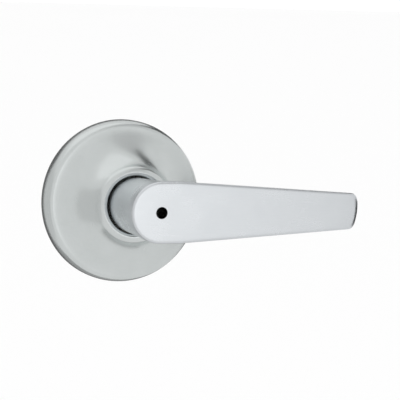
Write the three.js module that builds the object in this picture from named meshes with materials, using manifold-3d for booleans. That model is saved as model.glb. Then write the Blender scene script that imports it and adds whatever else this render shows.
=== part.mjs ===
// Outside half of a tubular privacy lever set for a bored door: a round bell-shaped rose and a
// flat tapered lever, with the return-spring cage, drive sleeve, spindle, emergency-release pin
// and lever catch that it holds inside.
// Millimetres. The origin is on the spindle's axis in the plane of the door's face. +X runs to
// the lever's tip, +Y into the door and +Z up. Heights h stand out from the door, so h = -y.

import * as THREE from 'three';
import { mergeVertices } from 'three/addons/utils/BufferGeometryUtils.js';
import Module from 'manifold-3d';

const wasm = await Module();
wasm.setup();

// ---------------------------------------------------------------- driving dimensions

const GAP = 0.3; // between pieces that seat on, or pass through, one another

// rose cover: pressed sheet, a short rolled rim and one hollow bell up to a rolled lip
const ROSE_RADIUS = 33.35; // covers the door's 54 mm cross bore
const ROSE_SIDE = 1.5; // straight side above the door
const RIM_WIDTH = 2.3; // rolled rim, seen from the front
const RIM_HEIGHT = 7.45;
const LIP_HEIGHT = 21.15;
const LIP_WIDTH = 3.9; // from the hole's wall out to the steepest part of the bell
const LIP_ROLL = 1.4; // radius that turns the lip down into the hole
const LIP_DEPTH = 3.2; // how far the hole's wall reaches back
const ROSE_WALL = 1.2;
const RIM_SLOPE = 8; // degrees, the bell just inside the rim
const LIP_SLOPE = 71; // degrees, the bell just below the lip

// lever handle: one casting, a round neck that carries a flat tapered bar
const PROJECTION = 52; // door face to the lever's flat front
const REACH = 84.2; // axis to tip
const HEAD_RADIUS = 12.15;
const NECK_RADIUS = 11.15;
const COLLAR_GAP = 0.55; // open ring between the neck and the rose's lip
const TIP_HALF_HEIGHT = 7.1;
const TAPER_START = 8; // the bar keeps its full height up to here
const BAR_THICKNESS = 11;
const ROOT_FILLET = 6; // round between the bar's back and the neck
const TIP_THICKNESS = 8.5;
const EDGE_RADIUS = 1.0; // round on the front edges
const END_BULGE = 1.2; // how far the tip's end stands out between its corners
const END_LEAN = 1.3; // how much further the end reaches at its upper corner than at its lower
const UPPER_CORNER = 2.4;
const LOWER_CORNER = 1.7;
const HEAD_ROOF = 11.5; // metal between the sleeve's socket and the front
const TOOL_HOLE_RADIUS = 2.25; // emergency-release hole
const KEY_WIDTH = 2.4;
const KEY_LENGTH = 8;

// drive sleeve and what turns with it
const SLEEVE_RADIUS = 7.9;
const SLEEVE_BORE = 6.3;
const SLEEVE_TAIL = 4.5; // how far it passes the door's face
const SLEEVE_END_WALL = 4; // solid end, above the door's face
const SLOT_DEPTH = 0.9; // slots that carry the driver's keys
const SPINDLE_HALF = 4; // half of an 8 mm square
const SPINDLE_TAIL = 32;
const SPINDLE_STEP = 0.2; // the spindle is this much slimmer on each side inside the sleeve
const SPINDLE_HEAD = 1.3;
const PUSH_WASHER = 0.8;
const GUIDE_THICKNESS = 2.0;

// emergency-release pin
const PIN_RADIUS = 1.5;
const PIN_TAIL = 2.5; // beyond the spindle's end
const PIN_HEAD_RADIUS = 3.2;
const PIN_HEAD_LENGTH = 3;
const CLIP_HEIGHT = 17.5; // the pin's clip, where its spring pushes
const CLIP_THICKNESS = 0.8;
const PIN_SPRING_WIRE = 0.5;
const PIN_SPRING_TURNS = 7;

// lever catch, on the underside of the neck
const CATCH_ABOVE_LIP = 3.6;
const CATCH_RADIUS = 1.7;
const CATCH_FLANGE_RADIUS = 2.8;
const CATCH_FLANGE = 0.9;
const CATCH_FLANGE_Z = 4.4;
const CATCH_RECESS = 1.1; // the catch's end below the neck's surface
const LEAF_THICKNESS = 0.4;
const LEAF_WIDTH = 3.2;
const LEAF_LENGTH = 16;

// door-side mechanism, stacked outwards from the door's face
const LINER_THICKNESS = 1.8;
const LINER_RIM = 4.2; // width of the raised rim that bears on the door
const LINER_RECESS = 0.5; // the rest of the liner's back stands this far off the door
const SHEET = 0.9; // spring cage
const CAGE_DEPTH = 7.1; // cage base to the rim of its wall
const SPRING_WIRE = 1.2;
const SPRING_AIR = 0.05; // between one turn and the next
const SPRING_TURNS = 2;
const SPRING_LEG_ANGLE = 14; // degrees, each leg away from straight down
const DRIVER_THICKNESS = 1.0;
const TAB_ANGLE = 8; // degrees, half the width of a tab or lug
const TURN_LIMIT = 50; // degrees, each way
const FRONT_FLANGE = 0.5;
const CAP_THICKNESS = 0.8;
const BUSH_WALL = 1.5;
const REAR_FLANGE = 0.7;
const WASHER_THICKNESS = 0.4;
const WASHER_WAVE = 0.2;
const RING_THICKNESS = 0.8;
const POST_SPACING = 38.1; // between the two threaded posts
const POST_RADIUS = 4;
const POST_LENGTH = 26;
const POST_SPIGOT = 2.7;
const THREAD_RADIUS = 2.1;
const THREAD_DEPTH = 20;
const SCREW_SHANK = 1.2;
const SCREW_HEAD = 2.2;
const SCREW_HEAD_HEIGHT = 1.4;

// ---------------------------------------------------------------- what follows from them

const HOLE_RADIUS = NECK_RADIUS + COLLAR_GAP;
const NECK_BORE = SLEEVE_RADIUS + GAP;
const SOCKET_END = PROJECTION - HEAD_ROOF;
const SLEEVE_FRONT = SOCKET_END - GAP;
const CAGE_BASE = LINER_THICKNESS + GAP;
const SPRING_START = CAGE_BASE + SHEET + GAP;
const SPRING_PITCH = SPRING_WIRE + SPRING_AIR;
const SPRING_HEIGHT = SPRING_TURNS * SPRING_PITCH + SPRING_WIRE + 0.1;
const DRIVER_START = SPRING_START + SPRING_HEIGHT + GAP;
const DRIVER_END = DRIVER_START + DRIVER_THICKNESS;
const FLANGE_START = DRIVER_END + GAP;
const FLANGE_END = FLANGE_START + FRONT_FLANGE;
const CAGE_RIM = Math.max(CAGE_BASE + CAGE_DEPTH, FLANGE_START);
const CAP_START = Math.max(CAGE_RIM, FLANGE_END) + GAP;
const CAP_END = CAP_START + CAP_THICKNESS;
const NECK_START = CAP_END + 2 * GAP;
const BUSH_RADIUS = NECK_BORE + BUSH_WALL;
const CATCH_HEIGHT = LIP_HEIGHT + CATCH_ABOVE_LIP;
const BACK_SEAT = LINER_RECESS - GAP;
const RING_FRONT = BACK_SEAT - 2 * GAP - REAR_FLANGE - WASHER_THICKNESS - 2 * WASHER_WAVE;
const RING_BACK = RING_FRONT - RING_THICKNESS;

// ---------------------------------------------------------------- geometry helpers

const RAD = Math.PI / 180;
const polar = (r, degrees) => [r * Math.cos(degrees * RAD), r * Math.sin(degrees * RAD)];

/** A solid from a closed geometry: shared corners merged and slivers at a pole left out. */
function solid(geometry) {
  const bare = geometry.clone();
  bare.deleteAttribute('normal');
  bare.deleteAttribute('uv');
  const merged = mergeVertices(bare, 1e-4);
  const corners = merged.index.array;
  const kept = [];
  for (let i = 0; i < corners.length; i += 3) {
    const [a, b, c] = corners.slice(i, i + 3);
    if (a !== b && b !== c && c !== a) kept.push(a, b, c);
  }
  return new wasm.Manifold(new wasm.Mesh({
    numProp: 3,
    vertProperties: new Float32Array(merged.attributes.position.array),
    triVerts: new Uint32Array(kept),
  }));
}

/** Geometry turned about the spindle's axis, from a closed loop of [radius, height] points. */
function turnedGeometry(profile, segments) {
  const doubleArea = profile.reduce((sum, [r, h], i) => {
    const [nextR, nextH] = profile[(i + 1) % profile.length];
    return sum + r * nextH - nextR * h;
  }, 0);
  const loop = doubleArea > 0 ? [...profile].reverse() : [...profile];
  const points = [...loop, loop[0]].map(([r, h]) => new THREE.Vector2(r, -h));
  return new THREE.LatheGeometry(points, segments);
}

const turned = (profile, segments = 36) => solid(turnedGeometry(profile, segments));

const ring = (inner, outer, low, high, segments) =>
  turned([[inner, low], [outer, low], [outer, high], [inner, high]], segments);

/** A round bar between two heights, about an axis parallel to the spindle's through (x, z). */
function bar(radius, low, high, x = 0, z = 0, segments = 32) {
  const geometry = new THREE.CylinderGeometry(radius, radius, high - low, segments);
  return solid(geometry.translate(x, -(low + high) / 2, z));
}

/** A box given by its centre and size along x, h and z. */
function block(x, h, z, width, depth, height) {
  return solid(new THREE.BoxGeometry(width, depth, height).translate(x, -h, z));
}

/** A round bar along -Z, from z = high down to z = low, at a height h. */
function dropBar(radius, h, low, high, segments = 24) {
  const geometry = new THREE.CylinderGeometry(radius, radius, high - low, segments);
  return solid(geometry.rotateX(Math.PI / 2).translate(0, -h, (low + high) / 2));
}

/** A flat outline in x and z, given thickness between two heights. */
function plate(shape, low, high, curveSegments = 24) {
  const geometry = new THREE.ExtrudeGeometry(shape, {
    depth: high - low,
    bevelEnabled: false,
    curveSegments,
  });
  return solid(geometry.rotateX(Math.PI / 2).translate(0, -low, 0));
}

/** A piece of a ring: radii, middle angle and half angle in degrees, and heights. */
function sector(inner, outer, middle, half, low, high) {
  const shape = new THREE.Shape();
  shape.absarc(0, 0, outer, (middle - half) * RAD, (middle + half) * RAD, false);
  shape.absarc(0, 0, inner, (middle + half) * RAD, (middle - half) * RAD, true);
  return plate(shape, low, high, 6);
}

/** A round wire along a curve, closed at both ends. */
function wire(curve, diameter, steps, sides = 8) {
  const section = new THREE.Shape().absarc(0, 0, diameter / 2, 0, 2 * Math.PI);
  return solid(new THREE.ExtrudeGeometry(section, {
    steps,
    curveSegments: sides / 2,
    extrudePath: curve,
    bevelEnabled: false,
  }));
}

/** Points of a quarter turn, or less, of an ellipse about [r, h], angles in degrees. */
function arcPoints([r, h], radiusR, radiusH, from, to, count) {
  return Array.from({ length: count + 1 }, (_, i) => {
    const angle = (from + ((to - from) * i) / count) * RAD;
    return [r + radiusR * Math.cos(angle), h + radiusH * Math.sin(angle)];
  });
}

const group = new THREE.Group();

/** Adds a solid to the model as a named piece of one material. */
function add(name, body, finish) {
  const mesh = body.getMesh();
  const geometry = new THREE.BufferGeometry();
  geometry.setAttribute('position', new THREE.BufferAttribute(mesh.vertProperties, 3));
  geometry.setIndex(new THREE.BufferAttribute(mesh.triVerts, 1));
  const part = new THREE.Mesh(geometry, new THREE.MeshStandardMaterial(finish));
  part.name = name;
  group.add(part);
}

const SATIN_CHROME = { color: 0xc9cccd, roughness: 0.38, metalness: 1 };
const ZINC_CASTING = { color: 0x9a9ea1, roughness: 0.55, metalness: 1 };
const PLATED_STEEL = { color: 0xb9bab4, roughness: 0.4, metalness: 1 };
const SPRING_STEEL = { color: 0x6f7274, roughness: 0.35, metalness: 1 };
const WHITE_NYLON = { color: 0xe6e4dc, roughness: 0.5, metalness: 0 };
const BLACK_NYLON = { color: 0x161718, roughness: 0.5, metalness: 0 };

// ---------------------------------------------------------------- rose cover

/** Outside of the rose from its back edge to the hole's wall, as [radius, height] points. */
function roseOutside() {
  const crest = ROSE_RADIUS - RIM_WIDTH;
  const rimRise = RIM_HEIGHT - ROSE_SIDE;
  const rim = arcPoints([crest, ROSE_SIDE], RIM_WIDTH, rimRise, 0, 78, 4);
  const bellStart = new THREE.Vector2(crest - 0.2 * RIM_WIDTH, RIM_HEIGHT);
  const lipCentre = HOLE_RADIUS + LIP_ROLL;
  const lipFillet = (LIP_WIDTH - LIP_ROLL) / Math.sin(LIP_SLOPE * RAD);
  const lip = arcPoints([lipCentre, LIP_HEIGHT - lipFillet], lipFillet, lipFillet,
    90 - LIP_SLOPE, 90, 4);
  const bellEnd = new THREE.Vector2(...lip[0]);
  const handle = 0.36 * bellStart.distanceTo(bellEnd);
  const along = (slope) => new THREE.Vector2(-Math.cos(slope * RAD), Math.sin(slope * RAD));
  const bell = new THREE.CubicBezierCurve(
    bellStart,
    bellStart.clone().addScaledVector(along(RIM_SLOPE), handle),
    bellEnd.clone().addScaledVector(along(LIP_SLOPE), -handle),
    bellEnd,
  );
  const bellPoints = bell.getPoints(7).slice(0, -1).map((p) => [p.x, p.y]);
  const roll = arcPoints([lipCentre, LIP_HEIGHT - LIP_ROLL], LIP_ROLL, LIP_ROLL, 90, 180, 3);
  return [[ROSE_RADIUS, 0], ...rim, ...bellPoints, ...lip, ...roll.slice(1),
    [HOLE_RADIUS, LIP_HEIGHT - LIP_DEPTH]];
}

/** The same line moved inwards by the sheet's thickness. */
function roseInside(outside) {
  return outside.map(([r, h], i) => {
    const [beforeR, beforeH] = outside[Math.max(i - 1, 0)];
    const [afterR, afterH] = outside[Math.min(i + 1, outside.length - 1)];
    const length = Math.hypot(afterR - beforeR, afterH - beforeH);
    const normalR = (afterH - beforeH) / length;
    const normalH = (beforeR - afterR) / length;
    return [r - normalR * ROSE_WALL, h - normalH * ROSE_WALL];
  });
}

const roseOuterLine = roseOutside();
const roseInnerLine = roseInside(roseOuterLine);

/** Radius of the rose's inside at a height. */
function roseRadiusAt(height) {
  const upper = roseInnerLine.findIndex(([, h]) => h > height);
  const [r0, h0] = roseInnerLine[upper - 1];
  const [r1, h1] = roseInnerLine[upper];
  return r0 + ((r1 - r0) * (height - h0)) / (h1 - h0);
}

const LINER_RADIUS = ROSE_RADIUS - ROSE_WALL - GAP;
const CAP_RADIUS = roseRadiusAt(CAP_END) - 2 * GAP;
const CAP_SKIRT = 0.8;
const CAGE_RADIUS = CAP_RADIUS - CAP_SKIRT - GAP;
const CAGE_INSIDE = CAGE_RADIUS - SHEET;
const LUG_OUTER = CAGE_INSIDE - GAP;
const LUG_INNER = LUG_OUTER - SHEET;
const TAB_OUTER = LUG_INNER - GAP;
const TAB_INNER = TAB_OUTER - DRIVER_THICKNESS;
const COIL_RADIUS = TAB_INNER - GAP - SPRING_WIRE / 2;
const SCREW_CIRCLE = CAGE_RADIUS + 3.8;
const SCREW_ANGLES = [90, 210, 330];
const STOP_ANGLE = TURN_LIMIT + 2 * TAB_ANGLE + 2;

function roseCover() {
  const inside = roseInnerLine.filter((_, i) => i % 2 === 1 || i === roseInnerLine.length - 1);
  return turned([...roseOuterLine, ...inside.reverse(), [LINER_RADIUS + GAP, 0]], 48);
}

// ---------------------------------------------------------------- door-side pieces

function roseLiner() {
  const rim = LINER_RADIUS - LINER_RIM;
  const hub = BUSH_RADIUS + GAP;
  let body = turned([
    [hub, LINER_RECESS], [rim, LINER_RECESS], [rim, 0], [LINER_RADIUS, 0],
    [LINER_RADIUS, LINER_THICKNESS], [hub, LINER_THICKNESS],
  ], 48);
  for (const side of [-1, 1]) {
    const hole = bar(POST_SPIGOT + GAP, -1, LINER_THICKNESS + 1, (side * POST_SPACING) / 2, 0, 24);
    body = body.subtract(hole);
  }
  for (const angle of SCREW_ANGLES) {
    const [x, z] = polar(SCREW_CIRCLE, angle);
    body = body.subtract(bar(SCREW_SHANK + GAP, -1, LINER_THICKNESS + 1, x, z, 16));
    const lug = sector(LINER_RADIUS - 2, LINER_RADIUS - 0.6, angle + 60, 7, LINER_THICKNESS - 0.5,
      LINER_THICKNESS + 1.6);
    body = body.add(lug);
  }
  return body;
}

function threadedPost(side) {
  const x = (side * POST_SPACING) / 2;
  return bar(POST_RADIUS, -POST_LENGTH, BACK_SEAT, x, 0, 24)
    .add(bar(POST_SPIGOT, -1, LINER_THICKNESS, x, 0, 24))
    .subtract(bar(THREAD_RADIUS, -POST_LENGTH - 1, THREAD_DEPTH - POST_LENGTH, x, 0, 16));
}

function springCage() {
  const top = CAGE_BASE + SHEET;
  let body = turned([
    [BUSH_RADIUS + GAP, CAGE_BASE], [CAGE_RADIUS, CAGE_BASE], [CAGE_RADIUS, CAGE_RIM],
    [CAGE_INSIDE, CAGE_RIM], [CAGE_INSIDE, top], [BUSH_RADIUS + GAP, top],
  ]);
  for (const angle of SCREW_ANGLES) {
    const [x, z] = polar(SCREW_CIRCLE, angle);
    body = body.add(sector(CAGE_RADIUS - 0.5, SCREW_CIRCLE + 2.4, angle, 9, CAGE_BASE, top));
    body = body.subtract(bar(SCREW_SHANK + GAP, CAGE_BASE - 1, top + 1, x, z, 16));
  }
  body = body.add(sector(LUG_INNER, LUG_OUTER, -90, TAB_ANGLE, CAGE_BASE + 0.4, DRIVER_START - GAP));
  for (const angle of [90 - STOP_ANGLE, 90 + STOP_ANGLE]) {
    body = body.add(sector(LUG_INNER - 1, CAGE_INSIDE + 0.4, angle, TAB_ANGLE, CAGE_BASE + 0.4,
      DRIVER_END));
  }
  return body;
}

function cageCap() {
  return turned([
    [BUSH_RADIUS + GAP, CAP_START], [CAGE_RADIUS + GAP, CAP_START],
    [CAGE_RADIUS + GAP, CAP_START - 2.6], [CAP_RADIUS, CAP_START - 2.6], [CAP_RADIUS, CAP_END],
    [BUSH_RADIUS + GAP, CAP_END],
  ]);
}

function cageScrew(angle) {
  const [x, z] = polar(SCREW_CIRCLE, angle);
  const seat = CAGE_BASE + SHEET + GAP;
  return bar(SCREW_HEAD, seat, seat + SCREW_HEAD_HEIGHT, x, z, 20)
    .add(bar(SCREW_SHANK, GAP, seat + 0.5, x, z, 16))
    .subtract(block(x, seat + SCREW_HEAD_HEIGHT, z, 3.2, 1.4, 0.6))
    .subtract(block(x, seat + SCREW_HEAD_HEIGHT, z, 0.6, 1.4, 3.2));
}

function frontBush() {
  return turned([
    [NECK_BORE, FLANGE_START], [BUSH_RADIUS + 2, FLANGE_START], [BUSH_RADIUS + 2, FLANGE_END],
    [BUSH_RADIUS, FLANGE_END], [BUSH_RADIUS, CAP_END], [NECK_BORE, CAP_END],
  ]);
}

function rearBush() {
  return turned([
    [NECK_BORE, BACK_SEAT - REAR_FLANGE], [BUSH_RADIUS + 1.8, BACK_SEAT - REAR_FLANGE],
    [BUSH_RADIUS + 1.8, BACK_SEAT],
    [BUSH_RADIUS, BACK_SEAT], [BUSH_RADIUS, CAGE_BASE + SHEET], [NECK_BORE, CAGE_BASE + SHEET],
  ]);
}

// ---------------------------------------------------------------- springs

/** Torsion spring about the sleeve: two turns, with a straight leg on each side of the tabs. */
function returnSpring() {
  const low = SPRING_START + SPRING_WIRE / 2;
  const high = low + SPRING_TURNS * SPRING_PITCH;
  const steps = 18 * SPRING_TURNS;
  const bend = 4; // degrees taken by the bend from the coil into a leg
  const start = -90 - SPRING_LEG_ANGLE;
  const sweep = 360 * SPRING_TURNS + 2 * SPRING_LEG_ANGLE;
  const at = (radius, degrees, h) => {
    const [x, z] = polar(radius, degrees);
    return new THREE.Vector3(x, -h, z);
  };
  const points = [at(TAB_OUTER, start, low), at(COIL_RADIUS + SPRING_WIRE, start, low)];
  for (let i = 0; i <= steps; i += 1) {
    const angle = start + bend + ((sweep - 2 * bend) * i) / steps;
    points.push(at(COIL_RADIUS, angle, low + ((high - low) * i) / steps));
  }
  points.push(at(COIL_RADIUS + SPRING_WIRE, start + sweep, high));
  points.push(at(TAB_OUTER, start + sweep, high));
  return wire(new THREE.CatmullRomCurve3(points, false, 'centripetal'), SPRING_WIRE, 72);
}

/** Compression spring between the push-on washer and the release pin's clip. */
function releaseSpring() {
  const low = SLEEVE_END_WALL + GAP + SPINDLE_HEAD + GAP + PUSH_WASHER + GAP + PIN_SPRING_WIRE / 2;
  const high = CLIP_HEIGHT - GAP - PIN_SPRING_WIRE / 2;
  const steps = 12 * PIN_SPRING_TURNS;
  const radius = PIN_RADIUS + GAP + PIN_SPRING_WIRE / 2 + 0.4;
  const points = Array.from({ length: steps + 1 }, (_, i) => {
    const [x, z] = polar(radius, 30 * i);
    return new THREE.Vector3(x, -(low + ((high - low) * i) / steps), z);
  });
  return wire(new THREE.CatmullRomCurve3(points), PIN_SPRING_WIRE, steps, 6);
}

/** Leaf spring inside the sleeve, bowed so that its middle bears on the catch. */
function catchSpring() {
  const middle = -(CATCH_FLANGE_Z - GAP - LEAF_THICKNESS / 2);
  const end = -(SLEEVE_BORE - GAP - 1);
  const half = LEAF_LENGTH / 2;
  const path = new THREE.CatmullRomCurve3([
    new THREE.Vector3(0, -(CATCH_HEIGHT - half), end),
    new THREE.Vector3(0, -(CATCH_HEIGHT - 0.5 * half), middle),
    new THREE.Vector3(0, -CATCH_HEIGHT, middle),
    new THREE.Vector3(0, -(CATCH_HEIGHT + 0.5 * half), middle),
    new THREE.Vector3(0, -(CATCH_HEIGHT + half), end),
  ]);
  const side = path.getPoints(20);
  const shape = new THREE.Shape([
    ...side.map((p) => new THREE.Vector2(p.y, p.z + LEAF_THICKNESS / 2)),
    ...side.reverse().map((p) => new THREE.Vector2(p.y, p.z - LEAF_THICKNESS / 2)),
  ]);
  const geometry = new THREE.ExtrudeGeometry(shape, { depth: LEAF_WIDTH, bevelEnabled: false });
  geometry.translate(0, 0, -LEAF_WIDTH / 2);
  geometry.applyMatrix4(new THREE.Matrix4().set(0, 0, 1, 0, 1, 0, 0, 0, 0, 1, 0, 0, 0, 0, 0, 1));
  return solid(geometry);
}

// ---------------------------------------------------------------- lever handle

/** Half of the bar's height at x: full over the head, then a straight taper to the tip. */
function barHalfHeight(x) {
  const share = Math.max(0, x - TAPER_START) / (REACH - TAPER_START);
  return HEAD_RADIUS + (TIP_HALF_HEIGHT - HEAD_RADIUS) * share;
}

/** Thickness of the bar at x: a straight taper, with a round where its back meets the neck. */
function barThickness(x) {
  const share = Math.min(1, Math.max(0, x / REACH));
  const off = Math.min(1, Math.max(0, x - HEAD_RADIUS) / ROOT_FILLET);
  const fillet = ROOT_FILLET * (1 - Math.sqrt(1 - (1 - off) ** 2));
  return BAR_THICKNESS + (TIP_THICKNESS - BAR_THICKNESS) * share + fillet;
}

/** Cross section of the bar, one unit high each way: flat front, rounded edges, bowed back. */
function barSection() {
  const edge = EDGE_RADIUS / HEAD_RADIUS;
  const shape = new THREE.Shape();
  shape.moveTo(-1 + edge, 0);
  shape.lineTo(1 - edge, 0);
  shape.quadraticCurveTo(1, 0, 1, -EDGE_RADIUS / BAR_THICKNESS);
  shape.bezierCurveTo(1, -0.45, 0.86, -0.9, 0.45, -1);
  shape.lineTo(-0.45, -1);
  shape.bezierCurveTo(-0.86, -0.9, -1, -0.45, -1, -EDGE_RADIUS / BAR_THICKNESS);
  shape.quadraticCurveTo(-1, 0, -1 + edge, 0);
  return shape;
}

/** The tapered bar with square ends, from the axis to past the tip. */
function taperedBar() {
  const stations = [0, 0.5, 1, 1.05, 1.12, 1.22, 1.35, 1.5, 2, 3, 4, 5, 6].map((share) => share * HEAD_RADIUS)
    .filter((x) => x < REACH - 2);
  stations.push(REACH + 1);
  const geometry = new THREE.ExtrudeGeometry(barSection(), {
    depth: stations.length - 1,
    steps: stations.length - 1,
    curveSegments: 5,
    bevelEnabled: false,
  });
  const position = geometry.attributes.position;
  for (let i = 0; i < position.count; i += 1) {
    const x = stations[Math.round(position.getZ(i))];
    const z = position.getX(i) * barHalfHeight(x);
    const h = PROJECTION + position.getY(i) * barThickness(x);
    position.setXYZ(i, x, -h, z);
  }
  return solid(geometry);
}

/** Where the tip's end is at height z: a shallow bulge that leans back towards its bottom. */
function endReach(z) {
  const peak = END_LEAN / (4 * END_BULGE);
  return REACH - END_BULGE * (z / barHalfHeight(REACH) - peak) ** 2;
}

/** Outline that rounds the tip: the leaning end between its two corner rounds. */
function tipOutline() {
  const half = barHalfHeight(REACH);
  const low = LOWER_CORNER - half;
  const high = half - UPPER_CORNER;
  const lowerStart = endReach(-half) - LOWER_CORNER;
  const upperEnd = endReach(half) - UPPER_CORNER;
  const steps = 8;
  const shape = new THREE.Shape();
  shape.moveTo(-1, -2 * HEAD_RADIUS);
  shape.lineTo(lowerStart, -barHalfHeight(lowerStart));
  shape.quadraticCurveTo(endReach(-half), -half, endReach(low), low);
  for (let step = 1; step <= steps; step += 1) {
    const z = low + (high - low) * step / steps;
    shape.lineTo(endReach(z), z);
  }
  shape.quadraticCurveTo(endReach(half), half, upperEnd, barHalfHeight(upperEnd));
  shape.lineTo(-1, 2 * HEAD_RADIUS);
  return plate(shape, PROJECTION - BAR_THICKNESS - 5, PROJECTION + 5, 10);
}

function leverHandle() {
  const edge = arcPoints([HEAD_RADIUS - EDGE_RADIUS, PROJECTION - EDGE_RADIUS], EDGE_RADIUS,
    EDGE_RADIUS, 0, 90, 3);
  const neck = turned([
    [0, NECK_START], [NECK_RADIUS, NECK_START], [NECK_RADIUS, LIP_HEIGHT], ...edge, [0, PROJECTION],
  ], 56);
  const socket = bar(NECK_BORE, NECK_START - 1, SOCKET_END, 0, 0, 36);
  const keyStart = SOCKET_END - KEY_LENGTH;
  const key = block(0, keyStart + KEY_LENGTH / 2, NECK_BORE - 0.1, KEY_WIDTH, KEY_LENGTH, 2);
  return neck
    .add(taperedBar().intersect(tipOutline()))
    .subtract(socket.subtract(key))
    .subtract(bar(TOOL_HOLE_RADIUS, SOCKET_END - 1, PROJECTION + 1, 0, 0, 32))
    .subtract(dropBar(CATCH_RADIUS + GAP, CATCH_HEIGHT, -NECK_RADIUS - 2, -SLEEVE_RADIUS));
}

// ---------------------------------------------------------------- sleeve, spindle and pin

function driveSleeve() {
  const slotFloor = SLEEVE_RADIUS - SLOT_DEPTH;
  const spindleHole = 2 * (SPINDLE_HALF - SPINDLE_STEP + GAP);
  let body = bar(SLEEVE_RADIUS, -SLEEVE_TAIL, SLEEVE_FRONT, 0, 0, 36)
    .subtract(bar(SLEEVE_BORE, SLEEVE_END_WALL, SLEEVE_FRONT + 1, 0, 0, 32))
    .subtract(block(0, 0, 0, spindleHole, 2 * (SLEEVE_TAIL + SLEEVE_END_WALL), spindleHole))
    .subtract(ring(slotFloor, SLEEVE_RADIUS + 1, RING_BACK - 0.15, RING_FRONT + 0.15, 36))
    .subtract(dropBar(CATCH_RADIUS + GAP, CATCH_HEIGHT, -SLEEVE_RADIUS - 1, -SLEEVE_BORE + 1.5));
  for (const side of [-1, 1]) {
    const depth = DRIVER_END + GAP + SLEEVE_TAIL + 1;
    const x = side * (slotFloor + SLOT_DEPTH);
    body = body.subtract(block(x, DRIVER_END + GAP - depth / 2, 0, 2 * SLOT_DEPTH, depth, 3.6));
  }
  const notch = KEY_LENGTH + 2 * GAP;
  return body.subtract(block(0, SLEEVE_FRONT - notch / 2 + 0.5, SLEEVE_RADIUS,
    KEY_WIDTH + 2 * GAP, notch + 1, 2 * (SLEEVE_RADIUS - SLEEVE_BORE) + 1));
}

function springDriver() {
  let body = ring(NECK_BORE, TAB_INNER - SPRING_WIRE, DRIVER_START, DRIVER_END);
  for (const angle of [0, 180]) {
    body = body.add(sector(SLEEVE_RADIUS - SLOT_DEPTH + GAP, NECK_BORE + 1, angle, TAB_ANGLE + 2,
      DRIVER_START, DRIVER_END));
  }
  const tabDepth = SPRING_START + 0.3;
  body = body
    .add(sector(NECK_BORE + 1, TAB_OUTER, -90, TAB_ANGLE, DRIVER_START, DRIVER_END))
    .add(sector(TAB_INNER, TAB_OUTER, -90, TAB_ANGLE, tabDepth, DRIVER_END))
    .add(sector(NECK_BORE + 1, LUG_OUTER - GAP, 90, TAB_ANGLE, DRIVER_START, DRIVER_END));
  return body;
}

/** Thrust washer with three waves, between the rear bush and the retaining ring. */
function waveWasher() {
  const low = BACK_SEAT - GAP - REAR_FLANGE - WASHER_THICKNESS - WASHER_WAVE;
  const high = low + WASHER_THICKNESS;
  const outer = BUSH_RADIUS + 1;
  const geometry = turnedGeometry([[NECK_BORE, low], [outer, low], [outer, high],
    [NECK_BORE, high]], 48);
  const position = geometry.attributes.position;
  for (let i = 0; i < position.count; i += 1) {
    const wave = Math.sin(3 * Math.atan2(position.getZ(i), position.getX(i)));
    position.setY(i, position.getY(i) - WASHER_WAVE * wave);
  }
  return solid(geometry);
}

function retainingRing() {
  const inner = SLEEVE_RADIUS - SLOT_DEPTH + 0.15;
  return ring(inner, BUSH_RADIUS + 0.4, RING_BACK, RING_FRONT)
    .subtract(block(0, RING_BACK, -SLEEVE_RADIUS - 1, 5, 4, 8));
}

function spindle() {
  const seat = SLEEVE_END_WALL + GAP;
  const shoulder = -SLEEVE_TAIL - GAP;
  const length = SPINDLE_TAIL + shoulder;
  const slim = 2 * (SPINDLE_HALF - SPINDLE_STEP);
  return block(0, shoulder - length / 2, 0, 2 * SPINDLE_HALF, length, 2 * SPINDLE_HALF)
    .add(block(0, (seat + shoulder) / 2, 0, slim, seat - shoulder + 1, slim))
    .add(bar(SLEEVE_BORE - GAP, seat, seat + SPINDLE_HEAD, 0, 0, 32))
    .subtract(bar(PIN_RADIUS + GAP, -SPINDLE_TAIL - 1, seat + SPINDLE_HEAD + 1, 0, 0, 20));
}

function pushWasher() {
  const low = SLEEVE_END_WALL + GAP + SPINDLE_HEAD + GAP;
  return ring(PIN_RADIUS + 2 * GAP, SLEEVE_BORE - GAP, low, low + PUSH_WASHER, 32);
}

function toolGuide() {
  const low = SLEEVE_FRONT - GUIDE_THICKNESS;
  return turned([
    [TOOL_HOLE_RADIUS, low], [SLEEVE_BORE - GAP, low], [SLEEVE_BORE - GAP, SLEEVE_FRONT],
    [TOOL_HOLE_RADIUS + 0.8, SLEEVE_FRONT], [TOOL_HOLE_RADIUS, SLEEVE_FRONT - 0.8],
  ], 32);
}

function releasePin() {
  const front = SLEEVE_FRONT - GUIDE_THICKNESS - GAP;
  const groove = 0.35;
  return turned([
    [0, -SPINDLE_TAIL - PIN_TAIL], [PIN_RADIUS - 0.4, -SPINDLE_TAIL - PIN_TAIL],
    [PIN_RADIUS, -SPINDLE_TAIL - PIN_TAIL + 0.6], [PIN_RADIUS, CLIP_HEIGHT - 0.15],
    [PIN_RADIUS - groove, CLIP_HEIGHT - 0.15],
    [PIN_RADIUS - groove, CLIP_HEIGHT + CLIP_THICKNESS + 0.15],
    [PIN_RADIUS, CLIP_HEIGHT + CLIP_THICKNESS + 0.15], [PIN_RADIUS, front - PIN_HEAD_LENGTH],
    [PIN_HEAD_RADIUS, front - PIN_HEAD_LENGTH], [PIN_HEAD_RADIUS, front - 0.4],
    [PIN_HEAD_RADIUS - 0.4, front], [1.4, front], [0, front - 0.8],
  ], 24);
}

function releaseClip() {
  return ring(PIN_RADIUS - 0.2, PIN_RADIUS + 1.4, CLIP_HEIGHT, CLIP_HEIGHT + CLIP_THICKNESS, 24)
    .subtract(block(0, CLIP_HEIGHT, PIN_RADIUS + 1, 2, 4, 3));
}

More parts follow.
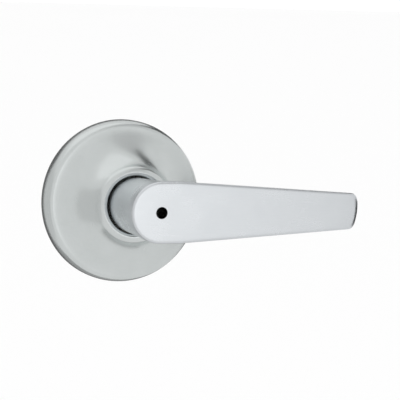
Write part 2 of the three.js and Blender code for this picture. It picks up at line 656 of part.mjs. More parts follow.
function leverCatch() {
  const tip = -(NECK_RADIUS - CATCH_RECESS);
  return dropBar(CATCH_RADIUS, CATCH_HEIGHT, tip, -CATCH_FLANGE_Z - 0.3)
    .add(dropBar(CATCH_FLANGE_RADIUS, CATCH_HEIGHT, -CATCH_FLANGE_Z - CATCH_FLANGE, -CATCH_FLANGE_Z))
    .subtract(dropBar(0.6, CATCH_HEIGHT, tip - 1, tip + 0.5, 12));
}

// ---------------------------------------------------------------- assembly

add('rose_cover', roseCover(), SATIN_CHROME);
add('rose_liner', roseLiner(), ZINC_CASTING);
add('threaded_post_left', threadedPost(-1), PLATED_STEEL);
add('threaded_post_right', threadedPost(1), PLATED_STEEL);
add('spring_cage', springCage(), PLATED_STEEL);
add('cage_cap', cageCap(), PLATED_STEEL);
SCREW_ANGLES.forEach((angle, i) => add(`cage_screw_${i + 1}`, cageScrew(angle), PLATED_STEEL));
add('front_bush', frontBush(), WHITE_NYLON);
add('rear_bush', rearBush(), WHITE_NYLON);
add('return_spring', returnSpring(), SPRING_STEEL);
add('lever_handle', leverHandle(), SATIN_CHROME);
add('drive_sleeve', driveSleeve(), PLATED_STEEL);
add('spring_driver', springDriver(), PLATED_STEEL);
add('wave_washer', waveWasher(), SPRING_STEEL);
add('retaining_ring', retainingRing(), SPRING_STEEL);
add('spindle', spindle(), PLATED_STEEL);
add('push_washer', pushWasher(), SPRING_STEEL);
add('tool_guide', toolGuide(), BLACK_NYLON);
add('release_pin', releasePin(), PLATED_STEEL);
add('release_clip', releaseClip(), SPRING_STEEL);
add('release_spring', releaseSpring(), SPRING_STEEL);
add('lever_catch', leverCatch(), PLATED_STEEL);
add('catch_spring', catchSpring(), SPRING_STEEL);

export default group;
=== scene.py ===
"""Fine model, finishes and studio for the outside half of a tubular privacy lever set.

The set is a bell-shaped rose that covers the door's bore, a cast lever that turns on it against
a torsion spring, the sleeve and square spindle that work the latch, the emergency-release pin
down the spindle's middle and the spring catch that holds the lever on its sleeve.
Sizes are in millimetres until a mesh is made. The spindle's axis is the Y axis, and heights h
stand out from the door's face, so h = -y.
"""

import logging
import math
from dataclasses import dataclass
from enum import Enum

import bmesh
import bpy
import numpy as np
from bpy.types import ID, Material, Node, NodeSocket, NodeTree, Object
from mathutils import Matrix, Vector

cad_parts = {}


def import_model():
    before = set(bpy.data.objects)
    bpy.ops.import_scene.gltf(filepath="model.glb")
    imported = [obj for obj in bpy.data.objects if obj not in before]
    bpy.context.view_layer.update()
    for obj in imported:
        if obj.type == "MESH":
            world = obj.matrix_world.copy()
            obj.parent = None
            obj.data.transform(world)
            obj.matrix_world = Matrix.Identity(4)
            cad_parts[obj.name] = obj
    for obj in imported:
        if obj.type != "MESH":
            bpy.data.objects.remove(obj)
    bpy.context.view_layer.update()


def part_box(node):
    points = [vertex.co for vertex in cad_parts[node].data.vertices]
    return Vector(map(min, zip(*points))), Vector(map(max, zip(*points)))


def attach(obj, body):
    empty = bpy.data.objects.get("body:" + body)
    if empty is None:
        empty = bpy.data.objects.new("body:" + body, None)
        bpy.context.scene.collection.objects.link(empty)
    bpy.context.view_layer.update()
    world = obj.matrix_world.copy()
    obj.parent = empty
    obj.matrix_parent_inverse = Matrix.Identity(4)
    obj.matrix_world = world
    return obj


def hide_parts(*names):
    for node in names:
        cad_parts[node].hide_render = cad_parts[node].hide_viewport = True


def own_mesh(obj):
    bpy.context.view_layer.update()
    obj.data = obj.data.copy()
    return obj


MM = 0.001  # metres in a millimetre
CLEARANCE = 0.3  # between pieces that seat on, or pass through, one another
BITE = 0.5  # how far a tab, ear or lug reaches into what it is welded to
SCREW_ANGLES = (90, 210, 330)  # degrees from +X towards +Z, where the cage is screwed down
CORNERS_ONLY = 50.0  # degrees: breaks square corners and leaves a round wall's facets alone
Profile = list[tuple[float, float]]  # radius and height, in millimetres

log = logging.getLogger("lever set")


# ------------------------------------------------------------------------ sizes from the frame


@dataclass(frozen=True)
class Span:
    """How far a CAD node reaches, in millimetres."""

    radius: float
    back: float
    front: float


def span(node: str) -> Span:
    """Reads a CAD node's reach off the frame.

    Args:
        node: the CAD node's name.

    Returns:
        Its largest x, and its lowest and highest height over the door's face.
    """
    low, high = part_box(node)
    return Span(high.x / MM, -high.y / MM, -low.y / MM)


def screw_circle() -> float:
    """Returns how far the cage's screws stand from the spindle's axis, in millimetres."""
    low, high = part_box("cage_screw_1")
    return (low.z + high.z) / 2 / MM


def screw_places() -> list[tuple[float, float]]:
    """Returns the x and z of each cage screw, in millimetres."""
    circle = screw_circle()
    turns = [math.radians(angle) for angle in SCREW_ANGLES]
    return [(circle * math.cos(turn), circle * math.sin(turn)) for turn in turns]


# ------------------------------------------------------------------------ tools of the bench


class Direction(Enum):
    """Ways a round bar can lie, as the turn that takes it there from standing along Z."""

    ALONG_SPINDLE = (math.pi / 2, 0.0, 0.0)
    UPRIGHT = (0.0, 0.0, 0.0)


def place(x: float, h: float, z: float) -> Vector:
    """Returns the point at x, height h and z, in metres."""
    return Vector((x, -h, z)) * MM


def add_object(name: str, data: ID) -> Object:
    """Puts a mesh, curve or camera into the scene under its name."""
    thing = bpy.data.objects.new(name, data)
    bpy.context.scene.collection.objects.link(thing)
    return thing


def take_up(name: str) -> Object:
    """Names the primitive just added, and puts its place and turn into its mesh."""
    piece = bpy.context.active_object
    piece.name = name
    piece.data.name = name
    bpy.ops.object.transform_apply(location=True, rotation=True, scale=True)
    return piece


def work_on(piece: Object) -> None:
    """Makes a piece the only one selected and active."""
    bpy.ops.object.select_all(action="DESELECT")
    piece.select_set(True)
    bpy.context.view_layer.objects.active = piece


def apply_modifier(piece: Object, kind: str, **settings: object) -> None:
    """Adds a modifier with its settings to a piece, and applies it."""
    work_on(piece)
    bpy.ops.object.modifier_add(type=kind)
    modifier = piece.modifiers[-1]
    for setting, value in settings.items():
        setattr(modifier, setting, value)
    bpy.ops.object.modifier_apply(modifier=modifier.name)


def set_right(piece: Object) -> None:
    """Merges doubled corners and turns every face outwards."""
    work_on(piece)
    bpy.ops.object.mode_set(mode="EDIT")
    bpy.ops.mesh.select_all(action="SELECT")
    bpy.ops.mesh.remove_doubles(threshold=1e-6)
    bpy.ops.mesh.normals_make_consistent(inside=False)
    bpy.ops.object.mode_set(mode="OBJECT")


def turned(name: str, profile: Profile, sides: int = 96, x: float = 0, z: float = 0) -> Object:
    """Turns a piece about an axis parallel to the spindle's, ring by ring.

    Args:
        name: the piece's name.
        profile: the section's corners. It starts and ends on the axis, with flat ends, or it
            closes on itself round a hole.
        sides: corners in each ring.
        x: the axis's place across the door.
        z: the axis's place up the door.

    Returns:
        The closed piece.
    """
    capped = profile[0][0] == 0
    rings = profile[1:-1] if capped else [*profile, profile[0]]
    radius, height = rings[0]
    bpy.ops.object.select_all(action="DESELECT")
    bpy.ops.mesh.primitive_circle_add(
        vertices=sides, radius=radius * MM, fill_type="NGON" if capped else "NOTHING",
        location=place(x, height, z), rotation=Direction.ALONG_SPINDLE.value,
    )
    piece = take_up(name)
    bpy.ops.object.mode_set(mode="EDIT")
    bpy.ops.mesh.select_all(action="SELECT")
    for next_radius, next_height in rings[1:]:
        step = (0, (height - next_height) * MM, 0)
        bpy.ops.mesh.extrude_region_move(TRANSFORM_OT_translate={"value": step})
        scale = next_radius / radius
        bpy.ops.transform.resize(value=(scale, 1, scale), center_override=place(x, next_height, z))
        radius, height = next_radius, next_height
    bpy.ops.object.mode_set(mode="OBJECT")
    set_right(piece)
    return piece


def box(name: str, centre: tuple[float, float, float], size: tuple[float, float, float]) -> Object:
    """Adds a square block; centre and size run along x, h and z."""
    bpy.ops.object.select_all(action="DESELECT")
    scale = [abs(side) for side in place(*size)]
    bpy.ops.mesh.primitive_cube_add(size=1, location=place(*centre), scale=scale)
    return take_up(name)


def rod(name: str, radius: float, centre: tuple[float, float, float], length: float,
        way: Direction = Direction.ALONG_SPINDLE, sides: int = 64) -> Object:
    """Adds a round bar, used as a drill or a plain pin.

    Args:
        name: the piece's name.
        radius: the bar's radius.
        centre: its middle, along x, h and z.
        length: its length.
        way: how it lies.
        sides: corners round it.

    Returns:
        The bar.
    """
    bpy.ops.object.select_all(action="DESELECT")
    bpy.ops.mesh.primitive_cylinder_add(
        vertices=sides, radius=radius * MM, depth=length * MM,
        location=place(*centre), rotation=way.value,
    )
    return take_up(name)


def swept(name: str, radii: tuple[float, float], heights: tuple[float, float], middle: float,
          half: float) -> Object:
    """Makes a piece of a ring, such as a tab or lug, by spinning its section.

    Args:
        name: the piece's name.
        radii: inner and outer radius.
        heights: lower and upper height.
        middle: the angle of its middle from +X towards +Z, in degrees.
        half: half of the angle that it covers, in degrees.

    Returns:
        The closed piece.
    """
    inner, outer = radii
    low, high = heights
    bpy.ops.object.select_all(action="DESELECT")
    middle_place = place((inner + outer) / 2, (low + high) / 2, 0)
    bpy.ops.mesh.primitive_plane_add(size=1, location=middle_place)
    piece = bpy.context.active_object
    piece.scale = ((outer - inner) * MM, (high - low) * MM, 1)
    take_up(name)
    bpy.ops.object.mode_set(mode="EDIT")
    bpy.ops.mesh.select_all(action="SELECT")
    start = math.radians(middle - half)
    bpy.ops.transform.rotate(value=start, orient_axis="Y", center_override=(0, 0, 0))
    bpy.ops.mesh.spin(
        steps=12, angle=math.radians(2 * half), center=(0, 0, 0), axis=(0, -1, 0),
    )
    bpy.ops.object.mode_set(mode="OBJECT")
    set_right(piece)
    return piece


def combine(piece: Object, tools: list[Object], operation: str) -> None:
    """Cuts tools out of a piece, or joins them to it, and puts the tools away."""
    for tool in tools:
        apply_modifier(piece, "BOOLEAN", operation=operation, solver="EXACT", object=tool)
        bpy.data.objects.remove(tool)


def cut(piece: Object, *tools: Object) -> None:
    """Cuts each tool's shape out of a piece."""
    combine(piece, list(tools), "DIFFERENCE")


def weld(piece: Object, *parts: Object) -> None:
    """Joins parts to a piece as one body."""
    combine(piece, list(parts), "UNION")


def break_edges(piece: Object, width: float, segments: int = 2, sharper_than: float = 35) -> None:
    """Rounds a piece's sharp edges.

    Args:
        piece: the piece.
        width: how far each round reaches from its edge.
        segments: faces across the round.
        sharper_than: the least angle between faces, in degrees, that counts as an edge.
    """
    apply_modifier(piece, "BEVEL", width=width * MM, segments=segments, limit_method="ANGLE",
                   angle_limit=math.radians(sharper_than))


def coil(name: str, route: list[Vector], diameter: float, resolution: int = 5) -> Object:
    """Makes a round wire along a route, with closed ends.

    Args:
        name: the piece's name.
        route: points on the wire's middle line, in metres.
        diameter: the wire's diameter.
        resolution: how finely the section is divided.

    Returns:
        The wire as a mesh.
    """
    curve = bpy.data.curves.new(name, "CURVE")
    curve.dimensions = "3D"
    curve.bevel_depth = diameter / 2 * MM
    curve.bevel_resolution = resolution
    curve.use_fill_caps = True
    spline = curve.splines.new("POLY")
    spline.points.add(len(route) - 1)
    for point, at in zip(spline.points, route):
        point.co = (*at, 1)
    work_on(add_object(name, curve))
    bpy.ops.object.convert(target="MESH")
    piece = bpy.context.active_object
    set_right(piece)
    return piece


def on_circle(radius: float, degrees: float, h: float) -> Vector:
    """Returns a point on a circle about the spindle's axis; the angle runs from +X to +Z."""
    angle = math.radians(degrees)
    return place(radius * math.cos(angle), h, radius * math.sin(angle))


def arc(centre: tuple[float, float], radius_r: float, radius_h: float, start: float, end: float,
        count: int) -> Profile:
    """Points of part of an ellipse, for a profile.

    Args:
        centre: the ellipse's middle, as radius and height.
        radius_r: its half width along the radius.
        radius_h: its half width along the height.
        start: first angle, in degrees.
        end: last angle, in degrees.
        count: steps between them.

    Returns:
        count + 1 points.
    """
    r, h = centre
    angles = [math.radians(start + (end - start) * i / count) for i in range(count + 1)]
    return [(r + radius_r * math.cos(a), h + radius_h * math.sin(a)) for a in angles]


def plain_ring(inner: float, outer: float, low: float, high: float) -> Profile:
    """Returns the square section of a plain ring."""
    return [(inner, low), (outer, low), (outer, high), (inner, high)]


# ------------------------------------------------------------------------ finishes


def linear(colour: str) -> tuple[float, float, float, float]:
    """Turns an sRGB hex colour to the linear values that shaders take."""
    channels = [int(colour.lstrip("#")[i : i + 2], 16) / 255 for i in (0, 2, 4)]
    bent = [c / 12.92 if c <= 0.04045 else ((c + 0.055) / 1.055) ** 2.4 for c in channels]
    return (*bent, 1.0)


def add_node(tree: NodeTree, kind: str, settings: dict | None = None,
             links: dict | None = None) -> Node:
    """Adds a shader node with its settings and links.

    Args:
        tree: the material's node tree.
        kind: the node's type name, without "ShaderNode".
        settings: values by attribute name, or by socket name or number.
        links: output sockets by the name or number of the input they feed.

    Returns:
        The node.
    """
    node = tree.nodes.new("ShaderNode" + kind)
    for key, value in (settings or {}).items():
        if isinstance(key, str) and hasattr(node, key):
            setattr(node, key, value)
        else:
            node.inputs[key].default_value = value
    for key, output in (links or {}).items():
        tree.links.new(output, node.inputs[key])
    return node


def start_material(name: str) -> tuple[Material, NodeTree]:
    """Makes a material with no nodes in it, and returns it with its node tree."""
    material = bpy.data.materials.new(name)
    material.use_nodes = True
    material.node_tree.nodes.clear()
    return material, material.node_tree


@dataclass(frozen=True)
class Marks:
    """Marks spread over a surface, as noise."""

    apart: float  # in millimetres
    detail: float
    distortion: float = 0.0


@dataclass(frozen=True)
class Finish:
    """A surface finish: what it is made of, and how it answers light.

    Fine marks give the surface its relief. Broad ones, with a share of the fine ones, give it
    its tone, which runs from dull and dark to bright and smooth.
    """

    name: str
    slot: str
    light: str  # colour where the surface is fullest
    dark: str  # colour in its hollows and worn places
    metallic: float
    roughness: tuple[float, float]  # least and most
    relief: float  # height of the fine marks, in millimetres
    fine: Marks
    broad: Marks
    fine_share: float = 0.0  # how much of the tone follows the fine marks
    stretch: tuple[float, float, float] = (1.0, 1.0, 1.0)  # below 1 draws the marks out that way

    def grid(self, tree: NodeTree, where: NodeSocket) -> NodeSocket:
        """Returns the socket of the coordinates that the fine marks lie on."""
        return add_node(tree, "Mapping", {"Scale": self.stretch}, {"Vector": where}).outputs[0]

    def paint_shade(self, tree: NodeTree, where: NodeSocket, colour: NodeSocket) -> NodeSocket:
        """Returns the socket of the colour, with painted shade laid over it where a finish has
        any.
        """
        return colour

    def build(self) -> Material:
        """Makes the finish's material.

        Returns:
            The material, ready for a piece.
        """
        material, tree = start_material(self.name)
        material["slot"] = self.slot
        where = add_node(tree, "TexCoord").outputs["Object"]
        fine, broad = (
            add_node(tree, "TexNoise",
                     {"Scale": 1 / (marks.apart * MM), "Detail": marks.detail,
                      "Distortion": marks.distortion}, {"Vector": lie}).outputs["Fac"]
            for marks, lie in ((self.fine, self.grid(tree, where)), (self.broad, where))
        )
        tone = add_node(tree, "Mix", {"data_type": "FLOAT", 0: self.fine_share},
                        {2: broad, 3: fine}).outputs[0]
        colour = add_node(tree, "Mix", {"data_type": "RGBA", 6: linear(self.dark),
                                        7: linear(self.light)}, {0: tone}).outputs[2]
        smoothest, roughest = self.roughness
        rough = add_node(tree, "MapRange", {"To Min": roughest, "To Max": smoothest},
                         {"Value": tone})
        bump = add_node(tree, "Bump", {"Distance": self.relief * MM, "Strength": 1.0},
                        {"Height": fine})
        surface = add_node(tree, "BsdfPrincipled", {"Metallic": self.metallic},
                           {"Base Color": self.paint_shade(tree, where, colour),
                            "Roughness": rough.outputs["Result"],
                            "Normal": bump.outputs["Normal"]})
        add_node(tree, "OutputMaterial", None, {"Surface": surface.outputs["BSDF"]})
        return material


class SpunChrome(Finish):
    """Satin chrome plate on pressed sheet, brushed while the rose spun on its axis."""

    def grid(self, tree: NodeTree, where: NodeSocket) -> NodeSocket:
        """Wraps the marks round the spindle's axis, so that they lie in rings."""
        length = 3.0  # millimetres of mark for each radian round the axis
        parts = add_node(tree, "SeparateXYZ", None, {0: where})
        flat = add_node(tree, "CombineXYZ", {"Y": 0.0},
                        {"X": parts.outputs["X"], "Z": parts.outputs["Z"]})
        out = add_node(tree, "VectorMath", {"operation": "LENGTH"}, {0: flat.outputs[0]})
        angle = add_node(tree, "Math", {"operation": "ARCTAN2"},
                         {0: parts.outputs["Z"], 1: parts.outputs["X"]})
        along = add_node(tree, "Math", {"operation": "MULTIPLY", 1: length * MM},
                         {0: angle.outputs[0]})
        rings = add_node(tree, "CombineXYZ", None,
                         {"X": out.outputs["Value"], "Y": along.outputs[0],
                          "Z": parts.outputs["Y"]})
        return rings.outputs[0]


class BrushedChrome(Finish):
    """Satin chrome plate on a zinc casting, brushed along the lever."""

    def paint_shade(self, tree: NodeTree, where: NodeSocket, colour: NodeSocket) -> NodeSocket:
        """Lays painted shade over the tool hole: its chamfer and bore are coloured near black."""
        edge, soft = 2.36, 0.02  # where the painted shade starts, in the hole's chamfer, and how sharply
        flat = add_node(tree, "VectorMath", {"operation": "MULTIPLY", 1: (1.0, 0.0, 1.0)},
                        {0: where})
        out = add_node(tree, "VectorMath", {"operation": "LENGTH"}, {0: flat.outputs[0]})
        inside = add_node(tree, "MapRange", {"From Min": (edge + soft) * MM,
                                             "From Max": (edge - soft) * MM},
                          {"Value": out.outputs["Value"]})
        # painted shade: a near-black colour stands in for the shade inside the tool hole
        mixed = add_node(tree, "Mix", {"data_type": "RGBA", 7: linear("#141516")},
                         {0: inside.outputs["Result"], 6: colour})
        return mixed.outputs[2]


class Finishes:
    """The set's finishes, each made once."""

    def __init__(self) -> None:
        """Builds every material."""
        # Chromium is a bluish grey metal, and brushing the part before the plate goes on gives a
        # soft, broad shine with no sharp reflections. The real grit lines are 0.05 mm apart, so
        # both brushed finishes draw them coarser to show, under broad patches where the plate
        # took unevenly.
        self.spun_chrome = SpunChrome(
            "satin_chrome_spun", "satin_chrome", "#e2e6e6", "#d2d7d6", 1.0, (0.22, 0.30), 0.0012,
            fine=Marks(0.25, 2), broad=Marks(9, 3), fine_share=0.35,
        ).build()
        self.brushed_chrome = BrushedChrome(
            "satin_chrome_brushed", "satin_chrome", "#e6e9ec", "#d9dde0", 1.0, (0.24, 0.32), 0.001,
            fine=Marks(0.2, 2), broad=Marks(11, 3), fine_share=0.35, stretch=(0.03, 1, 1),
        ).build()
        # Zinc alloy straight from the die is darker and duller than plated metal, and shows a
        # fine grain over the faint swirls that the flowing metal left.
        self.casting = Finish(
            "zinc_casting", "zinc_casting", "#c4c7c9", "#a2a6a9", 1.0, (0.48, 0.62), 0.012,
            fine=Marks(0.4, 4), broad=Marks(5, 2, 1.5), fine_share=0.4,
        ).build()
        # A thin clear passivation over zinc plate leaves a faint warm cast on bright metal,
        # cloudy where it is thicker, with the marks of the tool round each turned piece.
        self.plating = Finish(
            "zinc_plated_steel", "plated_steel", "#cfcfc6", "#b4b4a9", 1.0, (0.26, 0.42), 0.002,
            fine=Marks(0.15, 1), broad=Marks(3, 3), stretch=(0.25, 1, 0.25),
        ).build()
        # Patented carbon steel wire keeps a dark skin with fine die marks, and smears of the oil
        # that keeps it from rusting break its shine.
        self.spring = Finish(
            "oiled_spring_steel", "spring_steel", "#83868a", "#5c5e61", 1.0, (0.24, 0.4), 0.001,
            fine=Marks(0.1, 1), broad=Marks(1.5, 3),
        ).build()
        # Unfilled nylon is creamy and slightly translucent, so it never looks paper white. It
        # takes the spark-eroded grain of its mould, under soft shading where it flowed.
        self.white_nylon = Finish(
            "natural_nylon", "white_nylon", "#ece9df", "#dedacc", 0.0, (0.42, 0.55), 0.004,
            fine=Marks(0.12, 2), broad=Marks(4, 1),
        ).build()
        # Carbon black in the nylon swallows light, so only the waxy sheen shows its shape.
        self.black_nylon = Finish(
            "black_nylon", "black_nylon", "#1c1d1f", "#121314", 0.0, (0.42, 0.55), 0.004,
            fine=Marks(0.12, 2), broad=Marks(4, 1),
        ).build()


def hand_over(piece: Object, body: str, node: str, finish: Material,
              smooth_under: float = 30) -> None:
    """Finishes a piece: its shading, its material, what it rides on and what it stands for.

    Args:
        piece: the piece.
        body: the CAD body that it moves with.
        node: the CAD node that it stands for.
        finish: its material.
        smooth_under: faces that meet at less than this many degrees shade as one.
    """
    work_on(piece)
    bpy.ops.object.shade_smooth_by_angle(angle=math.radians(smooth_under))
    piece.data.materials.clear()
    piece.data.materials.append(finish)
    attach(piece, body)
    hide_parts(node)
    log.info("%s stands for %s on %s: %d faces", piece.name, node, body, len(piece.data.polygons))


# ------------------------------------------------------------------------ rose


@dataclass
class Rose:
    """The rose cover: pressed sheet with a short rolled rim and one hollow bell up to its lip."""

    side: float = 1.5  # straight side above the door
    rim_width: float = 2.3
    rim_height: float = 7.45
    lip_width: float = 3.9
    lip_roll: float = 1.4
    lip_depth: float = 3.2
    wall: float = 1.2
    hole: float = 11.7
    rim_slope: float = 8.0  # degrees, the bell just inside the rim
    lip_slope: float = 71.0  # degrees, the bell just below the lip
    bell_pull: float = 0.36  # how far the bell holds each slope, as a share of its chord

    def outside(self) -> Profile:
        """Returns the outside from the back edge up over the rim and bell into the hole."""
        size = span("rose_cover")
        crest = size.radius - self.rim_width
        rim_end = 78  # degrees round the rim, where the bell takes over
        rim = arc((crest, self.side), self.rim_width, self.rim_height - self.side, 0, rim_end, 14)
        lip_centre = self.hole + self.lip_roll
        fillet = (self.lip_width - self.lip_roll) / math.sin(math.radians(self.lip_slope))
        lip = arc((lip_centre, size.front - fillet), fillet, fillet, 90 - self.lip_slope, 90, 12)
        bell_start = crest - 0.2 * self.rim_width  # the rim stops as far short of the crest
        bell = self.bell((bell_start, self.rim_height), lip[0])
        roll = arc((lip_centre, size.front - self.lip_roll), self.lip_roll, self.lip_roll, 90, 180,
                   8)
        return [(size.radius, 0), *rim, *bell, *lip, *roll[1:],
                (self.hole, size.front - self.lip_depth)]

    def bell(self, start: tuple[float, float], end: tuple[float, float]) -> Profile:
        """Returns the bell's hollow line between the rim and the lip, without its last point."""
        chord = math.dist(start, end) * self.bell_pull
        rim_slope, lip_slope = math.radians(self.rim_slope), math.radians(self.lip_slope)
        first = np.array(start) + chord * np.array([-math.cos(rim_slope), math.sin(rim_slope)])
        second = np.array(end) - chord * np.array([-math.cos(lip_slope), math.sin(lip_slope)])
        steps = 34
        points = []
        for t in np.linspace(0, 1, steps + 1)[:-1]:
            at = ((1 - t) ** 3 * np.array(start) + 3 * (1 - t) ** 2 * t * first
                  + 3 * (1 - t) * t**2 * second + t**3 * np.array(end))
            points.append((float(at[0]), float(at[1])))
        return points

    def inside(self, outside: Profile) -> Profile:
        """Returns every other point of the outside moved in by the sheet's thickness."""
        moved = []
        for i in [*range(0, len(outside) - 1, 2), len(outside) - 1]:
            before = outside[max(i - 1, 0)]
            after = outside[min(i + 1, len(outside) - 1)]
            length = math.dist(before, after)
            across = ((after[1] - before[1]) / length, (before[0] - after[0]) / length)
            r, h = outside[i]
            moved.append((r - across[0] * self.wall, h - across[1] * self.wall))
        return moved

    def build(self) -> Object:
        """Turns the cover.

        Returns:
            The cover as one closed shell.
        """
        outside = self.outside()
        inside = self.inside(outside)[::-1]
        return turned("rose_shell", [*outside, *inside[:-1], (inside[-1][0], 0)], sides=192)

    def dress(self, finishes: Finishes) -> None:
        """Builds the cover and gives it its finish."""
        hand_over(self.build(), "rose", "rose_cover", finishes.spun_chrome, smooth_under=40)


# ------------------------------------------------------------------------ lever handle


@dataclass
class Lever:
    """The lever: one casting whose round neck flows into a flat-fronted, tapered bar.

    No operator joins a neck and a bar as one smooth casting with a long root fillet, so its skin
    is laid ring by ring in mesh code: each ring has a corner on every ray from the spindle's
    axis, and follows the casting from the release hole over the front, round the edge, along the
    back, down the neck and up the socket.
    """

    head: float = 12.15
    neck: float = 11.15
    edge: float = 1.0
    tip_roll: float = 1.9  # the front edge's round is this wide at the tip
    tip_roll_length: float = 5.0
    crown: float = 0.12
    taper_start: float = 8.0
    tip_half: float = 7.1
    root_depth: float = 11.0
    tip_depth: float = 8.5
    fillet: float = 6.0
    end_bulge: float = 1.2
    end_lean: float = 1.3  # the upper corner reaches further than the lower one
    upper_corner: float = 2.4
    lower_corner: float = 1.7
    back_flat: float = 0.35  # share of the half height that is flat across the back
    back_power: float = 2.2  # fullness of the rounds between sides and back
    tool_hole: float = 2.25
    hole_chamfer: float = 0.12
    socket: float = 8.2
    socket_end: float = 40.5
    lip_height: float = 21.15
    catch_height: float = 24.75
    catch_hole: float = 2.0
    key: tuple[float, float] = (2.4, 8.0)
    front_rings: int = 13  # from the tool hole out over the front
    edge_rings: int = 7  # round the front's edge
    back_rings: int = 46  # down the side and in along the back
    neck_rings: int = 7

    def __post_init__(self) -> None:
        """Reads the lever's reach and front off the frame."""
        size = span("lever_handle")
        self.reach, self.front, self.start = size.radius, size.front, size.back
        self.spine_end = self.reach - self.tip_half - 1
        # The lean carries the bulge's peak up from the middle, so the line that the end is
        # measured from is set back to keep that peak at the lever's reach.
        peak_lead = self.end_lean**2 / (16 * self.end_bulge)
        self.end_line = self.reach - peak_lead + self.end_lean / 2

    def half_height(self, x: np.ndarray) -> np.ndarray:
        """Half of the bar's height: full over the head, then a straight taper."""
        share = np.clip((x - self.taper_start) / (self.reach - self.taper_start), 0, None)
        return self.head + (self.tip_half - self.head) * share

    def depth(self, x: np.ndarray) -> np.ndarray:
        """The bar's thickness along its middle: a straight taper."""
        share = np.clip(x / self.reach, 0, 1)
        return self.root_depth + (self.tip_depth - self.root_depth) * share

    def cone(self, h: np.ndarray) -> np.ndarray:
        """Radius of the neck at a height: it opens a little towards the head."""
        share = np.clip((h - self.lip_height) / (self.front - self.edge - self.lip_height), 0, 1)
        return self.neck + (self.head - self.neck) * share

    def end_x(self, z: np.ndarray) -> np.ndarray:
        """Where the tip's end is at z: a shallow bulge that leans back at the bottom."""
        share = z / self.tip_half
        return self.end_line - self.end_bulge * share**2 - self.end_lean * (1 - share) / 2

    def corner(self, side: int, size: float, count: int) -> np.ndarray:
        """Points of a rounded corner of the tip, from its end to its side edge."""
        half = float(self.half_height(np.array(self.reach)))
        low = half - 1.3 * size  # a corner takes up more of the end than of the side
        start = np.array([self.end_x(side * low), side * low])
        peak_z = side * half
        peak = np.array([float(self.end_x(np.array(peak_z))), peak_z])
        end_at = peak[0] - size
        end = np.array([end_at, side * float(self.half_height(np.array(end_at)))])
        t = np.linspace(0, 1, count)[:, None]
        return (1 - t) ** 2 * start + 2 * (1 - t) * t * peak + t**2 * end

    def flank(self, side: int, from_x: float) -> np.ndarray:
        """Points of the upper or lower edge, from the tip's corner back to the axis."""
        bend = 25.0  # beyond here points keep an even distance, nearer an even angle
        clear, step = 2.0, 2.2  # from the corner to the first point, and from point to point
        near_count, trials = 26, 30
        far = np.arange(from_x - clear, bend, -step)
        first = math.atan2(float(self.half_height(np.array(bend))), bend)
        angles = np.linspace(first, math.pi / 2, near_count)
        near = []
        for angle in angles:
            x = bend
            for _ in range(trials):  # settles on where the ray at this angle meets the edge
                x = float(self.half_height(np.array(x))) / math.tan(angle)
            near.append(x)
        x = np.concatenate([far, near])
        return np.stack([x, side * self.half_height(x)], 1)

    def outline(self) -> np.ndarray:
        """Returns the lever's outline from the front, from the middle of the tip's end, over the
        top, round the head and back along the bottom."""
        corner_points, end_points, head_points = 9, 14, 73
        upper = self.corner(1, self.upper_corner, corner_points)
        lower = self.corner(-1, self.lower_corner, corner_points)
        end_z = np.linspace(lower[0][1], upper[0][1], end_points)[1:-1]
        end = np.stack([self.end_x(end_z), end_z], 1)
        top, bottom = self.flank(1, upper[-1][0]), self.flank(-1, lower[-1][0])
        angles = np.radians(np.linspace(90, 270, head_points))[1:-1]
        head = self.head * np.stack([np.cos(angles), np.sin(angles)], 1)
        start = len(end_z) // 2
        return np.concatenate([end[start:], upper, top, head, bottom[::-1], lower[::-1],
                               end[:start]])

    def fullness(self, x: np.ndarray, z: np.ndarray, rim: np.ndarray) -> np.ndarray:
        """How far a point lies from the bar's spine, as a share of the way to its outline.

        Args:
            x: places along the bar.
            z: places up the bar.
            rim: the outline.

        Returns:
            0 on the spine and 1 on the outline, for each point.
        """
        beyond = x > self.spine_end
        spine_x = np.clip(x, 0, self.spine_end)
        away = np.hypot(x - spine_x, z)
        tip = rim[rim[:, 0] > self.spine_end - 1]
        turn = np.arctan2(tip[:, 1], tip[:, 0] - self.spine_end)
        order = np.argsort(turn)
        reach = np.hypot(tip[:, 0] - self.spine_end, tip[:, 1])
        at = np.interp(np.arctan2(z, x - self.spine_end), turn[order], reach[order])
        side = np.where(x < 0, self.head, self.half_height(x))
        return np.clip(away / np.where(beyond, at, side), 0, 1)

    def back(self, ray: np.ndarray, rim: np.ndarray, count: int) -> np.ndarray:
        """The casting's side and back along one ray, from the outline in to the neck.

        Args:
            ray: the outline's corner on this ray.
            rim: the outline.
            count: how many points.

        Returns:
            Radius and depth below the front, for each point.
        """
        outer = float(np.hypot(*ray))
        way = ray / outer
        base = float(self.cone(np.array(self.front - self.root_depth - self.fillet)))
        overlap = 1.0  # the back runs on this far inside the neck, to meet it cleanly
        share = (1 - np.cos(np.linspace(0, math.pi, 500))) / 2
        r = outer + (base - overlap - outer) * share
        x, z = r * way[0], r * way[1]
        full = np.clip((self.fullness(x, z, rim) - self.back_flat) / (1 - self.back_flat), 0, 1)
        body = (1 - full**self.back_power) ** (1 / self.back_power)
        off = np.clip((r - base) / self.fillet, 0, 1)
        dive = 5  # how steeply the skin runs down once it is inside the neck
        web = self.fillet * (1 - np.sqrt(1 - (1 - off) ** 2)) + dive * np.clip(base - r, 0, None)
        down = self.edge + (self.depth(x) - self.edge) * body + web
        down = np.maximum.accumulate(down)
        cone = self.cone(self.front - down)
        softest, settled = 0.25, 4.0  # the joint's softness, and the depth where it is reached
        blend = softest * np.clip((down - self.edge) / settled, 0, 1)
        r = (r + cone + np.sqrt((r - cone) ** 2 + blend**2)) / 2
        line = np.concatenate([[[outer, self.edge]], np.stack([r, down], 1)])
        return spread(line, count)

